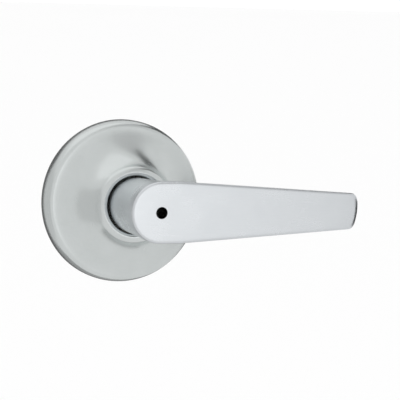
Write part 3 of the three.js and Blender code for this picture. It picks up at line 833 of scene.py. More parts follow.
    def rings(self) -> list[np.ndarray]:
        """Returns every ring of the skin, as x, height and z for each ray."""
        rim = self.outline()
        after, before = np.roll(rim, -1, 0), np.roll(rim, 1, 0)
        along = after - before
        along /= np.linalg.norm(along, axis=1)[:, None]
        out = np.stack([along[:, 1], -along[:, 0]], 1)
        rays = rim / np.linalg.norm(rim, axis=1)[:, None]

        def level(plan: np.ndarray, height: np.ndarray | float) -> np.ndarray:
            """Puts a plan outline at a height."""
            return np.stack([plan[:, 0], np.broadcast_to(height, len(plan)), plan[:, 1]], 1)

        near_tip = np.clip(1 - (self.reach - rim[:, :1]) / self.tip_roll_length, 0, 1)
        roll = out * (self.edge + (self.tip_roll - self.edge) * near_tip)
        inner = rim - roll
        top = self.front - self.crown
        skin = []
        for share in np.linspace(0, 1, self.front_rings):
            plan = rays * (self.tool_hole + self.hole_chamfer) * (1 - share) + inner * share
            skin.append(level(plan, self.front - self.crown * share**2))
        for angle in np.radians(np.linspace(0, 90, self.edge_rings))[1:-1]:
            plan = inner + roll * math.sin(angle)
            skin.append(level(plan, top - (self.edge - self.crown) * (1 - math.cos(angle))))
        lines = np.stack([self.back(ray, rim, self.back_rings) for ray in rim])
        for step in range(lines.shape[1]):
            plan = rays * lines[:, step, :1]
            skin.append(level(plan, self.front - lines[:, step, 1]))
        last = self.front - lines[:, -1, 1]
        outer_chamfer, inner_chamfer = 0.3, 0.4  # on the neck's end
        for share in np.linspace(0, 1, self.neck_rings)[1:]:
            height = last + (self.start + outer_chamfer - last) * share
            skin.append(level(rays * self.cone(height)[:, None], height))
        wall = [
            (self.neck - outer_chamfer, self.start), (self.socket + inner_chamfer, self.start),
            (self.socket, self.start + inner_chamfer), (self.socket, self.socket_end),
            (self.tool_hole, self.socket_end), (self.tool_hole, self.front - self.hole_chamfer),
        ]
        skin.extend(level(rays * radius, height) for radius, height in wall)
        return skin

    def build(self) -> Object:
        """Lays the skin, then cuts the catch's hole and sets the key in the socket.

        Returns:
            The casting as one closed piece.
        """
        skin = self.rings()
        mesh = bmesh.new()
        rows = [[mesh.verts.new(place(*map(float, at))) for at in ring] for ring in skin]
        count = len(rows[0])
        for row, following in zip(rows, [*rows[1:], rows[0]]):
            for i in range(count):
                j = (i + 1) % count
                mesh.faces.new((row[i], row[j], following[j], following[i]))
        data = bpy.data.meshes.new("lever_casting")
        mesh.to_mesh(data)
        mesh.free()
        piece = add_object("lever_casting", data)
        set_right(piece)
        wall_middle = -(self.neck + self.socket) / 2
        cut(piece, rod("catch_drill", self.catch_hole, (0, self.catch_height, wall_middle), 4,
                       Direction.UPRIGHT, 48))
        width, length = self.key
        key_middle = self.socket_end - length / 2
        weld(piece, box("key", (0, key_middle, self.socket - 0.1), (width, length + 0.4, 2)))
        return piece

    def dress(self, finishes: Finishes) -> None:
        """Builds the lever and gives it its finish."""
        hand_over(self.build(), "lever", "lever_handle", finishes.brushed_chrome, smooth_under=40)


def spread(line: np.ndarray, count: int, turn_share: float = 0.6) -> np.ndarray:
    """Spreads points along a line, closer together where it turns.

    Args:
        line: many points along it.
        count: how many points to return.
        turn_share: how much of the spacing follows the turning rather than the length.

    Returns:
        count points on the line, its ends among them.
    """
    steps = np.diff(line, axis=0)
    lengths = np.hypot(steps[:, 0], steps[:, 1])
    headings = np.unwrap(np.arctan2(steps[:, 1], steps[:, 0]))
    turns = np.abs(np.diff(headings, append=headings[-1]))
    weight = (1 - turn_share) * lengths / lengths.sum() + turn_share * turns / turns.sum()
    done = np.concatenate([[0], np.cumsum(weight)])
    wanted = np.linspace(0, done[-1], count)
    return np.stack([np.interp(wanted, done, line[:, k]) for k in (0, 1)], 1)


# ------------------------------------------------------------------------ mounting plate


@dataclass
class MountingPlate:
    """What the rose is built on: the cast liner, its two threaded posts and the cage's screws."""

    rim: float = 4.2  # width of the raised rim that bears on the door
    recess: float = 0.5
    thickness: float = 1.8
    hub: float = 10.0
    post_radius: float = 4.0
    spigot: float = 2.7
    spigot_end: float = 1.8
    shoulder: float = 0.2
    thread: tuple[float, float] = (1.72, 2.1)  # crest and root of the thread in each post
    thread_depth: float = 20.0
    pitch: float = 0.8
    screw_shank: float = 1.2
    screw_head: float = 2.2
    screw_head_height: float = 1.4
    screw_seat: float = 3.3
    screw_dome: float = 0.9
    lug_set_in: tuple[float, float] = (2.0, 0.6)  # its two faces, in from the liner's edge
    lug_height: float = 1.6
    lug_half: float = 7.0  # degrees
    cross: tuple[float, float, float] = (2.6, 1.5, 0.55)  # the recess's length, depth and width
    ejector: float = 1.6
    ejector_at: float = 14.0
    ejector_depth: float = 0.12

    def __post_init__(self) -> None:
        """Reads the plate's size and where its posts stand off the frame."""
        self.radius = span("rose_liner").radius
        self.post = span("threaded_post_right")
        self.post_at = self.post.radius - self.post_radius

    def liner(self) -> Object:
        """Casts the liner: a raised bearing rim, drilled for posts and screws, with lugs in
        front that hold the rose and shallow round marks of the ejector pins behind."""
        rim = self.radius - self.rim
        piece = turned("liner_plate", [
            (self.hub, self.recess), (rim, self.recess), (rim, 0), (self.radius, 0),
            (self.radius, self.thickness), (self.hub, self.thickness),
        ], 144)
        lug_radii = tuple(self.radius - inset for inset in self.lug_set_in)
        lug_heights = (self.thickness - BITE, self.thickness + self.lug_height)
        for angle in SCREW_ANGLES:  # each lug stands half way between two screws
            weld(piece, swept("lug", lug_radii, lug_heights, angle + 60, self.lug_half))
        break_edges(piece, 0.2)
        mark_height = self.recess + self.ejector_depth - 1
        for side in (-1, 1):
            cut(piece, rod("post_drill", self.spigot + CLEARANCE, (side * self.post_at, 1, 0), 5))
            for up in (-1, 1):
                middle = (side * self.ejector_at, mark_height, up * self.ejector_at)
                cut(piece, rod("ejector", self.ejector, middle, 2))
        for x, z in screw_places():
            cut(piece, rod("screw_drill", self.screw_shank + CLEARANCE, (x, 1, z), 5, sides=40))
        return piece

    def threaded_post(self, side: int) -> Object:
        """Turns a post with its spigot at one end and its tapped hole in the other."""
        crest, root = self.thread
        end = self.post.back
        bottom = end + self.thread_depth
        small, middle, large, countersink = 0.2, 0.25, 0.45, 0.4  # chamfers, from spigot to end
        lead_in = 0.5  # from the end to the first thread
        turns = int(self.thread_depth / self.pitch) - 1
        thread = []
        for turn in range(turns):
            base = end + lead_in + turn * self.pitch
            thread += [(root, base), (crest, base + self.pitch / 2)]
        return turned("post_left" if side < 0 else "post_right", [
            (0, self.spigot_end), (self.spigot - small, self.spigot_end),
            (self.spigot, self.spigot_end - small), (self.spigot, self.shoulder),
            (self.post_radius - middle, self.shoulder), (self.post_radius, self.shoulder - middle),
            (self.post_radius, end + large), (self.post_radius - large, end),
            (root + countersink, end), *thread, (crest, bottom), (0, bottom),
        ], 72, side * self.post_at)

    def screw(self, number: int, x: float, z: float) -> Object:
        """Turns a pan-head screw and sinks its cross recess."""
        top = self.screw_seat + self.screw_head_height
        dome = arc((self.screw_head - self.screw_dome, top - self.screw_dome), self.screw_dome,
                   self.screw_dome, 0, 90, 6)
        chamfer = 0.25
        piece = turned(f"screw_{number}", [
            (0, CLEARANCE), (self.screw_shank - chamfer, CLEARANCE),
            (self.screw_shank, CLEARANCE + chamfer), (self.screw_shank, self.screw_seat),
            (self.screw_head, self.screw_seat), *dome, (0, top),
        ], 56, x, z)
        for slot in (self.cross, self.cross[::-1]):
            cut(piece, box("slot", (x, top, z), slot))
        return piece

    def dress(self, finishes: Finishes) -> None:
        """Builds the plate's pieces and gives them their finishes."""
        hand_over(self.liner(), "rose", "rose_liner", finishes.casting)
        for side, node in ((-1, "threaded_post_left"), (1, "threaded_post_right")):
            hand_over(self.threaded_post(side), "rose", node, finishes.plating)
        for number, (x, z) in enumerate(screw_places(), 1):
            hand_over(self.screw(number, x, z), "rose", f"cage_screw_{number}", finishes.plating)


# ------------------------------------------------------------------------ spring cage


@dataclass
class SpringCage:
    """The pressed cage with its cap, the bushes that the lever turns in, and the spring."""

    sheet: float = 0.9
    hub: float = 10.0
    bore: float = 8.2
    bush: float = 9.7
    skirt: float = 0.8
    skirt_depth: float = 2.6
    base: float = 2.1
    rim: float = 9.2
    draw: float = 1.3  # outside round where the sheet turns up
    ear: float = 2.4
    ear_half: float = 9.0  # degrees
    ear_hole: float = 1.5
    tab_half: float = 8.0  # degrees
    tab_thickness: float = 1.0
    stop_angle: float = 68.0  # degrees each way from the top
    driver: tuple[float, float] = (7.4, 8.4)
    wire: float = 1.2
    wire_pitch: float = 1.25
    turns: int = 2
    leg_angle: float = 14.0

    def __post_init__(self) -> None:
        """Works out each ring's radius from the cap's, as the ones outside it leave room."""
        cap = span("cage_cap")
        self.cap_radius, self.cap_front = cap.radius, cap.front
        self.radius = self.cap_radius - self.skirt - CLEARANCE
        self.inside = self.radius - self.sheet
        self.lug_outer = self.inside - CLEARANCE
        self.lug_inner = self.lug_outer - self.sheet
        self.tab_outer = self.lug_inner - CLEARANCE
        self.tab_inner = self.tab_outer - self.tab_thickness
        self.coil_radius = self.tab_inner - CLEARANCE - self.wire / 2

    def cage(self) -> Object:
        """Presses the cage: a drawn cup with three ears, a lug for the spring and two stops."""
        floor = self.base + self.sheet
        corner = arc((self.radius - self.draw, self.base + self.draw), self.draw, self.draw,
                     -90, 0, 6)
        fold = self.draw - self.sheet
        inner = arc((self.inside - fold, floor + fold), fold, fold, 0, -90, 4)
        piece = turned("cage_pressing", [
            (self.hub, self.base), *corner, (self.radius, self.rim), (self.inside, self.rim),
            *inner, (self.hub, floor),
        ], 128)
        for angle, (x, z) in zip(SCREW_ANGLES, screw_places()):
            weld(piece, swept("ear", (self.radius - BITE, screw_circle() + self.ear),
                              (self.base, floor), angle, self.ear_half))
            cut(piece, rod("ear_drill", self.ear_hole, (x, floor, z), 4, sides=40))
        lug = self.base + 0.4
        weld(piece, swept("lug", (self.lug_inner, self.lug_outer),
                          (lug, self.driver[0] - CLEARANCE), -90, self.tab_half))
        for angle in (90 - self.stop_angle, 90 + self.stop_angle):
            weld(piece, swept("stop", (self.lug_inner - 1, self.inside + 0.4),
                              (lug, self.driver[1]), angle, self.tab_half))
        break_edges(piece, 0.1, sharper_than=CORNERS_ONLY)
        return piece

    def cap(self) -> Object:
        """Presses the cap that closes the cage."""
        back, round_over = self.cap_front - self.skirt, 0.9
        corner = arc((self.cap_radius - round_over, self.cap_front - round_over), round_over,
                     round_over, 0, 90, 6)
        low = back - self.skirt_depth
        piece = turned("cap_pressing", [
            (self.hub, back), (self.radius + CLEARANCE, back), (self.radius + CLEARANCE, low),
            (self.cap_radius, low), *corner, (self.hub, self.cap_front),
        ], 128)
        break_edges(piece, 0.1, sharper_than=CORNERS_ONLY)
        return piece

    def front_bush(self) -> Object:
        """Moulds the bush between the cap and the lever's neck."""
        low = self.driver[1] + CLEARANCE
        flange, thickness = self.bush + 2, 0.5
        piece = turned("bush_front", [
            (self.bore, low), (flange, low), (flange, low + thickness),
            (self.bush, low + thickness), (self.bush, self.cap_front), (self.bore, self.cap_front),
        ], 96)
        break_edges(piece, 0.12)
        return piece

    def rear_bush(self) -> Object:
        """Moulds the bush that fills the liner's hub, with its flange on the door's side."""
        size = span("rear_bush")
        flange_thickness = 0.7
        flange = size.back + flange_thickness
        piece = turned("bush_rear", [
            (self.bore, size.back), (size.radius, size.back), (size.radius, flange),
            (self.bush, flange), (self.bush, size.front), (self.bore, size.front),
        ], 96)
        break_edges(piece, 0.15)
        return piece

    def spring(self) -> Object:
        """Winds the torsion spring: two turns, with a leg on each side of the tabs."""
        low = self.base + self.sheet + CLEARANCE + self.wire / 2
        high = low + self.turns * self.wire_pitch
        bend = 4.0  # degrees from the end of the coil into a leg
        start = -90 - self.leg_angle
        sweep = 360 * self.turns + 2 * self.leg_angle
        steps = 60 * self.turns
        shoulder = self.coil_radius + self.wire
        # Each leg runs in to the shoulder and rounds over it: radius, and degrees into the coil.
        leg = [(self.tab_outer, 0), (shoulder + 0.25, 0), (shoulder - 0.45, 0.3),
               (shoulder - 0.95, 1.6)]
        route = [on_circle(radius, start + turn, low) for radius, turn in leg]
        for i in range(steps + 1):
            angle = start + bend + (sweep - 2 * bend) * i / steps
            route.append(on_circle(self.coil_radius, angle, low + (high - low) * i / steps))
        end = start + sweep
        route += [on_circle(radius, end - turn, high) for radius, turn in leg[::-1]]
        return coil("torsion_spring", route, self.wire, 6)

    def dress(self, finishes: Finishes) -> None:
        """Builds the cage's pieces and gives them their finishes."""
        hand_over(self.cage(), "rose", "spring_cage", finishes.plating)
        hand_over(self.cap(), "rose", "cage_cap", finishes.plating)
        hand_over(self.front_bush(), "rose", "front_bush", finishes.white_nylon)
        hand_over(self.rear_bush(), "rose", "rear_bush", finishes.white_nylon)
        hand_over(self.spring(), "rose", "return_spring", finishes.spring, smooth_under=60)


# ------------------------------------------------------------------------ drive


@dataclass
class Drive:
    """What the lever turns: its sleeve, the spring's driver, and the square spindle."""

    radius: float = 7.9
    bore: float = 6.3
    end_wall: float = 4.0
    slot_depth: float = 0.9
    slot_width: float = 3.6
    spindle_half: float = 4.0
    spindle_step: float = 0.2
    spindle_head: float = 1.3
    pin_bore: float = 1.8
    neck_bore: float = 8.2
    catch_height: float = 24.75
    catch_hole: float = 2.0
    key_width: float = 2.4
    key_length: float = 8.0
    tab_half: float = 8.0
    ring_play: float = 0.15  # the retaining ring's room in its groove
    driver_sheet: float = 1.0
    washer_waves: int = 3
    washer_wave: float = 0.2
    washer_thickness: float = 0.4

    def __post_init__(self) -> None:
        """Reads the sleeve, ring and driver off the frame."""
        self.sleeve_size = span("drive_sleeve")
        self.ring_size = span("retaining_ring")
        self.driver_size = span("spring_driver")
        self.slot_floor = self.radius - self.slot_depth

    def sleeve(self) -> Object:
        """Turns the sleeve, then cuts its square, slots, groove, catch hole and key notch."""
        back, front = self.sleeve_size.back, self.sleeve_size.front
        low, high = self.ring_size.back - self.ring_play, self.ring_size.front + self.ring_play
        chamfer = 0.3
        piece = turned("sleeve_tube", [
            (0, back), (self.radius - chamfer, back), (self.radius, back + chamfer),
            (self.radius, low), (self.slot_floor, low), (self.slot_floor, high),
            (self.radius, high), (self.radius, front - chamfer), (self.radius - chamfer, front),
            (self.bore + chamfer, front), (self.bore, front - chamfer),
            (self.bore, self.end_wall), (0, self.end_wall),
        ], 96)
        hole = 2 * (self.spindle_half - self.spindle_step + CLEARANCE)
        cut(piece, box("square", (0, 0, 0), (hole, 2 * (self.end_wall - back), hole)))
        slot_end = self.driver_size.front + CLEARANCE
        depth = slot_end - back + 1
        for side in (-1, 1):
            cut(piece, box("slot", (side * self.radius, slot_end - depth / 2, 0),
                           (2 * self.slot_depth, depth, self.slot_width)))
        cut(piece, rod("catch_drill", self.catch_hole, (0, self.catch_height, -self.radius + 1),
                       4.2, Direction.UPRIGHT, 48))
        notch = self.key_length + 2 * CLEARANCE
        wall = self.radius - self.bore
        cut(piece, box("notch", (0, front - notch / 2 + 0.5, self.radius),
                       (self.key_width + 2 * CLEARANCE, notch + 1, 2 * wall + 1)))
        return piece

    def driver(self) -> Object:
        """Stamps the driver: a washer with two keys inside, a stop tab and the spring's tab."""
        low, high = self.driver_size.back, self.driver_size.front
        cage = SpringCage()
        plate = high - self.driver_sheet
        piece = turned("driver_plate", plain_ring(self.neck_bore, cage.tab_inner - cage.wire,
                                                  plate, high), 96)
        inner = self.slot_floor + CLEARANCE
        for angle in (0, 180):
            weld(piece, swept("key", (inner, self.neck_bore + 1), (plate, high), angle,
                              self.tab_half + 2))
        weld(piece, swept("arm", (self.neck_bore + 1, cage.tab_outer), (plate, high), -90,
                          self.tab_half))
        weld(piece, swept("tab", (cage.tab_inner, cage.tab_outer), (low, high), -90,
                          self.tab_half))
        weld(piece, swept("stop", (self.neck_bore + 1, cage.lug_outer - CLEARANCE),
                          (plate, high), 90, self.tab_half))
        break_edges(piece, 0.08, sharper_than=CORNERS_ONLY)
        return piece

    def wave_washer(self) -> Object:
        """Presses three waves into a flat spring washer."""
        size = span("wave_washer")
        low = size.back + self.washer_wave
        piece = turned("washer_wave", plain_ring(self.neck_bore, size.radius, low,
                                                 low + self.washer_thickness), 144)
        break_edges(piece, 0.08)
        for corner in piece.data.vertices:
            wave = math.sin(self.washer_waves * math.atan2(corner.co.z, corner.co.x))
            corner.co.y -= self.washer_wave * wave * MM
        return piece

    def retaining_ring(self) -> Object:
        """Turns the ring and opens its gap."""
        size = self.ring_size
        piece = turned("circlip", plain_ring(self.slot_floor + self.ring_play, size.radius,
                                             size.back, size.front), 96)
        cut(piece, box("gap", (0, size.back, -self.radius - 1), (5, 4, 8)))
        break_edges(piece, 0.1, sharper_than=CORNERS_ONLY)
        return piece

    def spindle(self) -> Object:
        """Draws the square spindle, its round head and the bore for the release pin."""
        size = span("spindle")
        shoulder = self.sleeve_size.back - CLEARANCE
        head = size.front - self.spindle_head
        side = 2 * self.spindle_half
        slim = side - 2 * self.spindle_step
        piece = box("square_spindle", (0, (size.back + shoulder) / 2, 0),
                    (side, shoulder - size.back, side))
        break_edges(piece, 0.35, 3)
        weld(piece, box("shank", (0, (head + shoulder) / 2, 0), (slim, head - shoulder + 1, slim)),
             rod("head", self.bore - CLEARANCE, (0, (head + size.front) / 2, 0),
                 self.spindle_head))
        middle, length = (size.back + size.front) / 2, size.front - size.back + 2
        cut(piece, rod("pin_bore", self.pin_bore, (0, middle, 0), length))
        return piece

    def dress(self, finishes: Finishes) -> None:
        """Builds the drive's pieces and gives them their finishes."""
        hand_over(self.sleeve(), "lever", "drive_sleeve", finishes.plating)
        hand_over(self.driver(), "lever", "spring_driver", finishes.plating)
        hand_over(self.wave_washer(), "lever", "wave_washer", finishes.spring)
        hand_over(self.retaining_ring(), "lever", "retaining_ring", finishes.spring)
        hand_over(self.spindle(), "lever", "spindle", finishes.plating)


# ------------------------------------------------------------------------ emergency release


@dataclass
class Release:
    """The pin that a tool pushes through the lever's hole to free the lock inside."""

    pin: float = 1.5
    head: float = 3.2
    head_length: float = 3.0
    groove: float = 0.35
    clip_play: float = 0.15  # the clip's room in its groove
    tool_hole: float = 2.25
    spring_wire: float = 0.5
    spring_turns: int = 7
    stroke: float = 4.5  # how far the tool pushes the pin and its clip

    def __post_init__(self) -> None:
        """Reads the pin's clip, washer and guide off the frame."""
        self.pin_size = span("release_pin")
        self.clip_size = span("release_clip")
        self.washer_size = span("push_washer")
        self.guide_size = span("tool_guide")

    def release_pin(self) -> Object:
        """Turns the pin: a chamfered tail, a groove for its clip and a dished head."""
        tail, front = self.pin_size.back, self.pin_size.front
        low, high = self.clip_size.back - self.clip_play, self.clip_size.front + self.clip_play
        waist, neck = self.pin - self.groove, front - self.head_length
        point, under, rim = 0.6, 0.2, 0.4  # how far the tail tapers, and the head's chamfers
        dish = [(1.4, front), (0.7, front - 0.55), (0.2, front - 0.8), (0, front - 0.8)]
        return turned("pin_release", [
            (0, tail), (self.pin - rim, tail), (self.pin, tail + point), (self.pin, low),
            (waist, low), (waist, high), (self.pin, high), (self.pin, neck),
            (self.head - under, neck), (self.head, neck + under),
            (self.head, front - rim), (self.head - rim, front), *dish,
        ], 64)

    def clip(self) -> Object:
        """Stamps the open clip in the pin's groove."""
        low, high = self.clip_size.back, self.clip_size.front
        piece = turned("clip_release", plain_ring(self.pin - 0.2, self.clip_size.radius, low,
                                                  high), 64)
        cut(piece, box("gap", (0, low, self.pin + 1), (2, 4, 3)))
        break_edges(piece, 0.08, sharper_than=CORNERS_ONLY)
        return piece

    def push_washer(self) -> Object:
        """Stamps the washer that keeps the spindle's head in the sleeve."""
        size = self.washer_size
        piece = turned("washer_push", plain_ring(self.pin + 2 * CLEARANCE, size.radius, size.back,
                                                 size.front), 80)
        break_edges(piece, 0.12)
        return piece

    def guide(self) -> Object:
        """Moulds the guide that leads the tool from the lever's hole to the pin's head."""
        low, high, radius = self.guide_size.back, self.guide_size.front, self.guide_size.radius
        edge, lead_in = 0.2, 0.8
        return turned("guide_bush", [
            (self.tool_hole, low), (radius - edge, low), (radius, low + edge),
            (radius, high - edge), (radius - edge, high), (self.tool_hole + lead_in, high),
            (self.tool_hole, high - lead_in),
        ], 80)

    def spring(self) -> Object:
        """Winds the pin's spring, with a flat closed turn at each end."""
        size = span("release_spring")
        radius = size.radius - self.spring_wire / 2
        low, high = size.back + self.spring_wire / 2, size.front - self.spring_wire / 2
        flat = 0.6  # turns at each end that hardly rise
        steps = 40 * self.spring_turns
        route = []
        for i in range(steps + 1):
            turn = self.spring_turns * i / steps
            rise = (turn - flat) / (self.spring_turns - 2 * flat)
            share = min(max(rise, 0), 1)
            route.append(on_circle(radius, 360 * turn, low + (high - low) * share))
        return coil("spring_release", route, self.spring_wire, 4)

    def dress(self, finishes: Finishes) -> None:
        """Builds the release's pieces and gives them their finishes."""
        hand_over(self.release_pin(), "release", "release_pin", finishes.plating)
        hand_over(self.clip(), "release", "release_clip", finishes.spring)
        hand_over(self.push_washer(), "lever", "push_washer", finishes.spring)
        hand_over(self.guide(), "lever", "tool_guide", finishes.black_nylon)
        spring, size = self.spring(), span("release_spring")
        hand_over(spring, "lever", "release_spring", finishes.spring, smooth_under=60)
        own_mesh(spring)


# ------------------------------------------------------------------------ lever catch


@dataclass
class Catch:
    """The sprung button under the neck that holds the lever on its sleeve."""

    radius: float = 1.7
    flange_radius: float = 2.8
    flange: float = 0.9
    dimple: float = 0.6
    leaf: float = 0.4
    leaf_width: float = 3.2

    def __post_init__(self) -> None:
        """Reads where the catch and its spring stand off the frame."""
        low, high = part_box("lever_catch")
        self.height = -(low.y + high.y) / 2 / MM
        self.tip, self.top = low.z / MM, high.z / MM
        low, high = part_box("catch_spring")
        self.leaf_start, self.leaf_end = -high.y / MM, -low.y / MM
        self.leaf_low, self.leaf_high = low.z / MM, high.z / MM

    def button(self) -> Object:
        """Turns the catch: a round-ended plunger with a flange that stops it in the sleeve."""
        length = self.top - self.flange - self.tip
        piece = rod("catch_button", self.radius, (0, self.height, self.tip + length / 2), length,
                    Direction.UPRIGHT, 56)
        break_edges(piece, 0.35, 4)
        flange = rod("flange", self.flange_radius, (0, self.height, self.top - self.flange / 2),
                     self.flange, Direction.UPRIGHT, 56)
        break_edges(flange, 0.12)
        weld(piece, flange)
        cut(piece, rod("dimple", self.dimple, (0, self.height, self.tip), 1, Direction.UPRIGHT,
                       32))
        return piece

    def leaf_spring(self) -> Object:
        """Bends the leaf: flat under the catch, its ends turned down to the sleeve's bore."""
        steps = 28
        flat = 0.35  # share of each half that stays flat
        fall = self.leaf_high - self.leaf_low - self.leaf
        middle = self.leaf_high - self.leaf / 2
        half = (self.leaf_end - self.leaf_start) / 2

        def line(step: int) -> tuple[float, float]:
            """Returns the leaf's height over the door and its z at a step."""
            share = 2 * step / steps - 1
            off = max(abs(share) - flat, 0) / (1 - flat)
            return self.leaf_start + half * (1 + share), middle - fall * off**2

        bpy.ops.object.select_all(action="DESELECT")
        bpy.ops.mesh.primitive_plane_add(size=1, location=(0, 0, 0))
        piece = bpy.context.active_object
        first, second = line(0), line(1)
        piece.scale = (self.leaf_width * MM, (second[0] - first[0]) * MM, 1)
        piece.location = place(0, (first[0] + second[0]) / 2, first[1])
        take_up("spring_leaf")
        bpy.ops.object.mode_set(mode="EDIT")
        mesh = bmesh.from_edit_mesh(piece.data)
        edge_y = -second[0] * MM
        for corner in mesh.verts:
            corner.select = abs(corner.co.y - edge_y) < 1e-6
        mesh.select_flush_mode()
        for edge in mesh.edges:
            edge.select = all(corner.select for corner in edge.verts)
        for face in mesh.faces:
            face.select = False
        bmesh.update_edit_mesh(piece.data)
        bpy.ops.transform.translate(value=(0, 0, (second[1] - first[1]) * MM))
        at = second
        for step in range(2, steps + 1):
            to = line(step)
            move = (0, -(to[0] - at[0]) * MM, (to[1] - at[1]) * MM)
            bpy.ops.mesh.extrude_region_move(TRANSFORM_OT_translate={"value": move})
            at = to
        bpy.ops.object.mode_set(mode="OBJECT")
        set_right(piece)
        apply_modifier(piece, "SOLIDIFY", thickness=self.leaf * MM, offset=0)
        break_edges(piece, 0.06, sharper_than=CORNERS_ONLY)
        return piece

    def dress(self, finishes: Finishes) -> None:
        """Builds the catch's pieces and gives them their finishes."""
        hand_over(self.button(), "catch", "lever_catch", finishes.plating)
        hand_over(self.leaf_spring(), "lever", "catch_spring", finishes.spring, smooth_under=45)


# ------------------------------------------------------------------------ studio


@dataclass(frozen=True)
class Softbox:
    """A square soft light that faces the lever set."""

    name: str
    towards: tuple[float, float, float]
    distance: float
    size: float
    power: float  # in watts

    def build(self) -> Object:
        """Hangs the light; the camera doesn't see it."""
        way = Vector(self.towards).normalized()
        bpy.ops.object.light_add(type="AREA", location=way * self.distance)
        lamp = bpy.context.active_object
        lamp.name = self.name
        lamp.rotation_euler = way.to_track_quat("Z", "Y").to_euler()
        lamp.data.shape = "SQUARE"
        lamp.data.size = self.size
        lamp.data.energy = self.power
        lamp.visible_camera = False
        return lamp


@dataclass
class Flag:
    """A black or grey card that only shiny pieces mirror, as a studio uses to draw a dark line.

    It is a strip along a path of directions from the object. Each step of the path is an angle
    from straight ahead, a bearing from +X towards +Z and half of the strip's width, in degrees.
    """

    name: str
    path: tuple[tuple[float, float, float], ...]
    tone: float = 0.03
    distance: float = 1.1

    def directions(self) -> list[Vector]:
        """Unit vectors along the strip's middle."""
        ways = []
        for spread, bearing, _ in self.path:
            off, turn = math.radians(spread), math.radians(bearing)
            ways.append(Vector((math.sin(off) * math.cos(turn), -math.cos(off),
                                math.sin(off) * math.sin(turn))))
        return ways

    def build(self) -> Object:
        """Hangs the card.

        Returns:
            The card.
        """
        ways = self.directions()
        corners = []
        for index, way in enumerate(ways):
            ahead = ways[min(index + 1, len(ways) - 1)] - ways[max(index - 1, 0)]
            across = way.cross(ahead).normalized()
            half = math.radians(self.path[index][2])
            for side in (-1, 1):
                edge = way * math.cos(half) + across * math.sin(half) * side
                corners.append(edge * self.distance)
        faces = [(i, i + 1, i + 3, i + 2) for i in range(0, len(corners) - 2, 2)]
        mesh = bpy.data.meshes.new(self.name)
        mesh.from_pydata(corners, [], faces)
        card = add_object(self.name, mesh)
        cloth, tree = start_material(self.name)
        dim = add_node(tree, "Emission", {"Strength": self.tone})
        add_node(tree, "OutputMaterial", None, {"Surface": dim.outputs["Emission"]})
        mesh.materials.append(cloth)
        card.visible_camera = False
        card.visible_diffuse = False
        card.visible_shadow = False
        return card


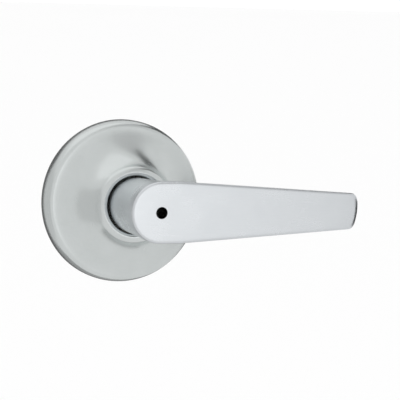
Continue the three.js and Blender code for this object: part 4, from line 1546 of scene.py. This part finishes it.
@dataclass
class Studio:
    """A plain pale floor, soft boxes, black and grey flags and the camera."""

    floor_drop: float = 1.0  # in metres, as the floor's size and the camera's distance are
    floor_size: float = 400.0
    camera_azimuth: float = -18.86  # degrees, as the other angles are; 0 looks along +Y
    camera_elevation: float = 5.4
    camera_distance: float = 0.9
    aim_azimuth: float = -20.99
    aim_drop: float = 5.34
    roll: float = 1.65
    lens: float = 196.6
    sensor: float = 36.0

    air_for_matt: float = 1.04  # the even light's strength on matt surfaces
    air_for_shine: float = 0.78
    softboxes: tuple[Softbox, ...] = (
        Softbox("face_box", (0.18, -0.98, -0.07), 1.3, 0.5, 0.38),
        Softbox("top_box", (-0.25, 0.15, 0.95), 1.3, 1.4, 1.0),
    )
    flags: tuple[Flag, ...] = (
        Flag("flag_between_lights", (
            (70, 61, 2), (85, 58, 4), (100, 51, 6), (112, 44, 7), (125, 36, 8), (142, 30, 9))),
        Flag("flag_soft", (
            (30, 50, 9), (45, 62, 12), (60, 66, 12), (75, 64, 9), (90, 58, 6)), tone=0.56,
            distance=1.15),
        Flag("flag_behind", ((150, 90, 30), (179, 90, 30), (150, 270, 30)), tone=0.1),
        Flag("flag_right", (
            (46, -11, 8), (72, -9, 12), (97, -13, 15), (122, -20, 18)), tone=0.02),
        Flag("flag_below", ((112, 270, 28), (150, 270, 30)), tone=0.35),
        Flag("flag_left", ((55, 188, 20), (90, 188, 28), (150, 188, 30)), tone=0.64),
    )

    def floor(self) -> None:
        """Lays a wide pale floor far below the set, so that no shadow of it shows."""
        bpy.ops.object.select_all(action="DESELECT")
        bpy.ops.mesh.primitive_plane_add(size=self.floor_size, location=(0, 0, -self.floor_drop))
        ground = take_up("studio_floor")
        paint, tree = start_material("studio_white")
        surface = add_node(tree, "BsdfPrincipled",
                           {"Base Color": linear("#fbfbfb"), "Roughness": 0.9})
        add_node(tree, "OutputMaterial", None, {"Surface": surface.outputs["BSDF"]})
        ground.data.materials.append(paint)
        ground.visible_glossy = False

    def sky(self) -> None:
        """Fills the studio with even light, brighter for matt surfaces than for reflections."""
        world = bpy.data.worlds.new("studio_air")
        bpy.context.scene.world = world
        world.use_nodes = True
        tree = world.node_tree
        tree.nodes.clear()
        path = add_node(tree, "LightPath")
        strength = add_node(tree, "Mix", {"data_type": "FLOAT", 2: self.air_for_matt,
                                          3: self.air_for_shine},
                            {0: path.outputs["Is Glossy Ray"]})
        glow = add_node(tree, "Background", {"Color": linear("#ffffff")},
                        {"Strength": strength.outputs[0]})
        add_node(tree, "OutputWorld", None, {"Surface": glow.outputs["Background"]})

    def camera(self) -> None:
        """Sets the camera: it stands to the left of the spindle's axis and a little above."""
        side, rise = math.radians(self.camera_azimuth), math.radians(self.camera_elevation)
        stand = self.camera_distance * Vector((
            math.sin(side) * math.cos(rise), -math.cos(side) * math.cos(rise), math.sin(rise)))
        turn, drop = math.radians(self.aim_azimuth), math.radians(self.aim_drop)
        ahead = Vector((-math.sin(turn) * math.cos(drop), math.cos(turn) * math.cos(drop),
                        -math.sin(drop)))
        right = ahead.cross(Vector((0, 0, 1))).normalized()
        up = right.cross(ahead)
        tilt = math.radians(self.roll)
        across = right * math.cos(tilt) + up * math.sin(tilt)
        upward = up * math.cos(tilt) - right * math.sin(tilt)
        data = bpy.data.cameras.new("camera")
        data.lens, data.sensor_width = self.lens, self.sensor
        camera = add_object("camera", data)
        turn_matrix = Matrix((across, upward, -ahead)).transposed().to_4x4()
        camera.matrix_world = Matrix.Translation(stand) @ turn_matrix
        bpy.context.scene.camera = camera

    def build(self) -> None:
        """Sets up floor, light and camera."""
        self.floor()
        self.sky()
        for gear in (*self.softboxes, *self.flags):
            gear.build()
        self.camera()
        bpy.context.scene.view_settings.view_transform = "Standard"


def main() -> None:
    """Builds the whole set on its frame."""
    logging.basicConfig(level=logging.INFO, format="%(name)s: %(message)s")
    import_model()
    finishes = Finishes()
    for assembly in (Rose(), MountingPlate(), SpringCage(), Lever(), Drive(), Release(), Catch()):
        assembly.dress(finishes)
        log.info("%s built", type(assembly).__name__)
    Studio().build()


if __name__ == "__main__":
    main()
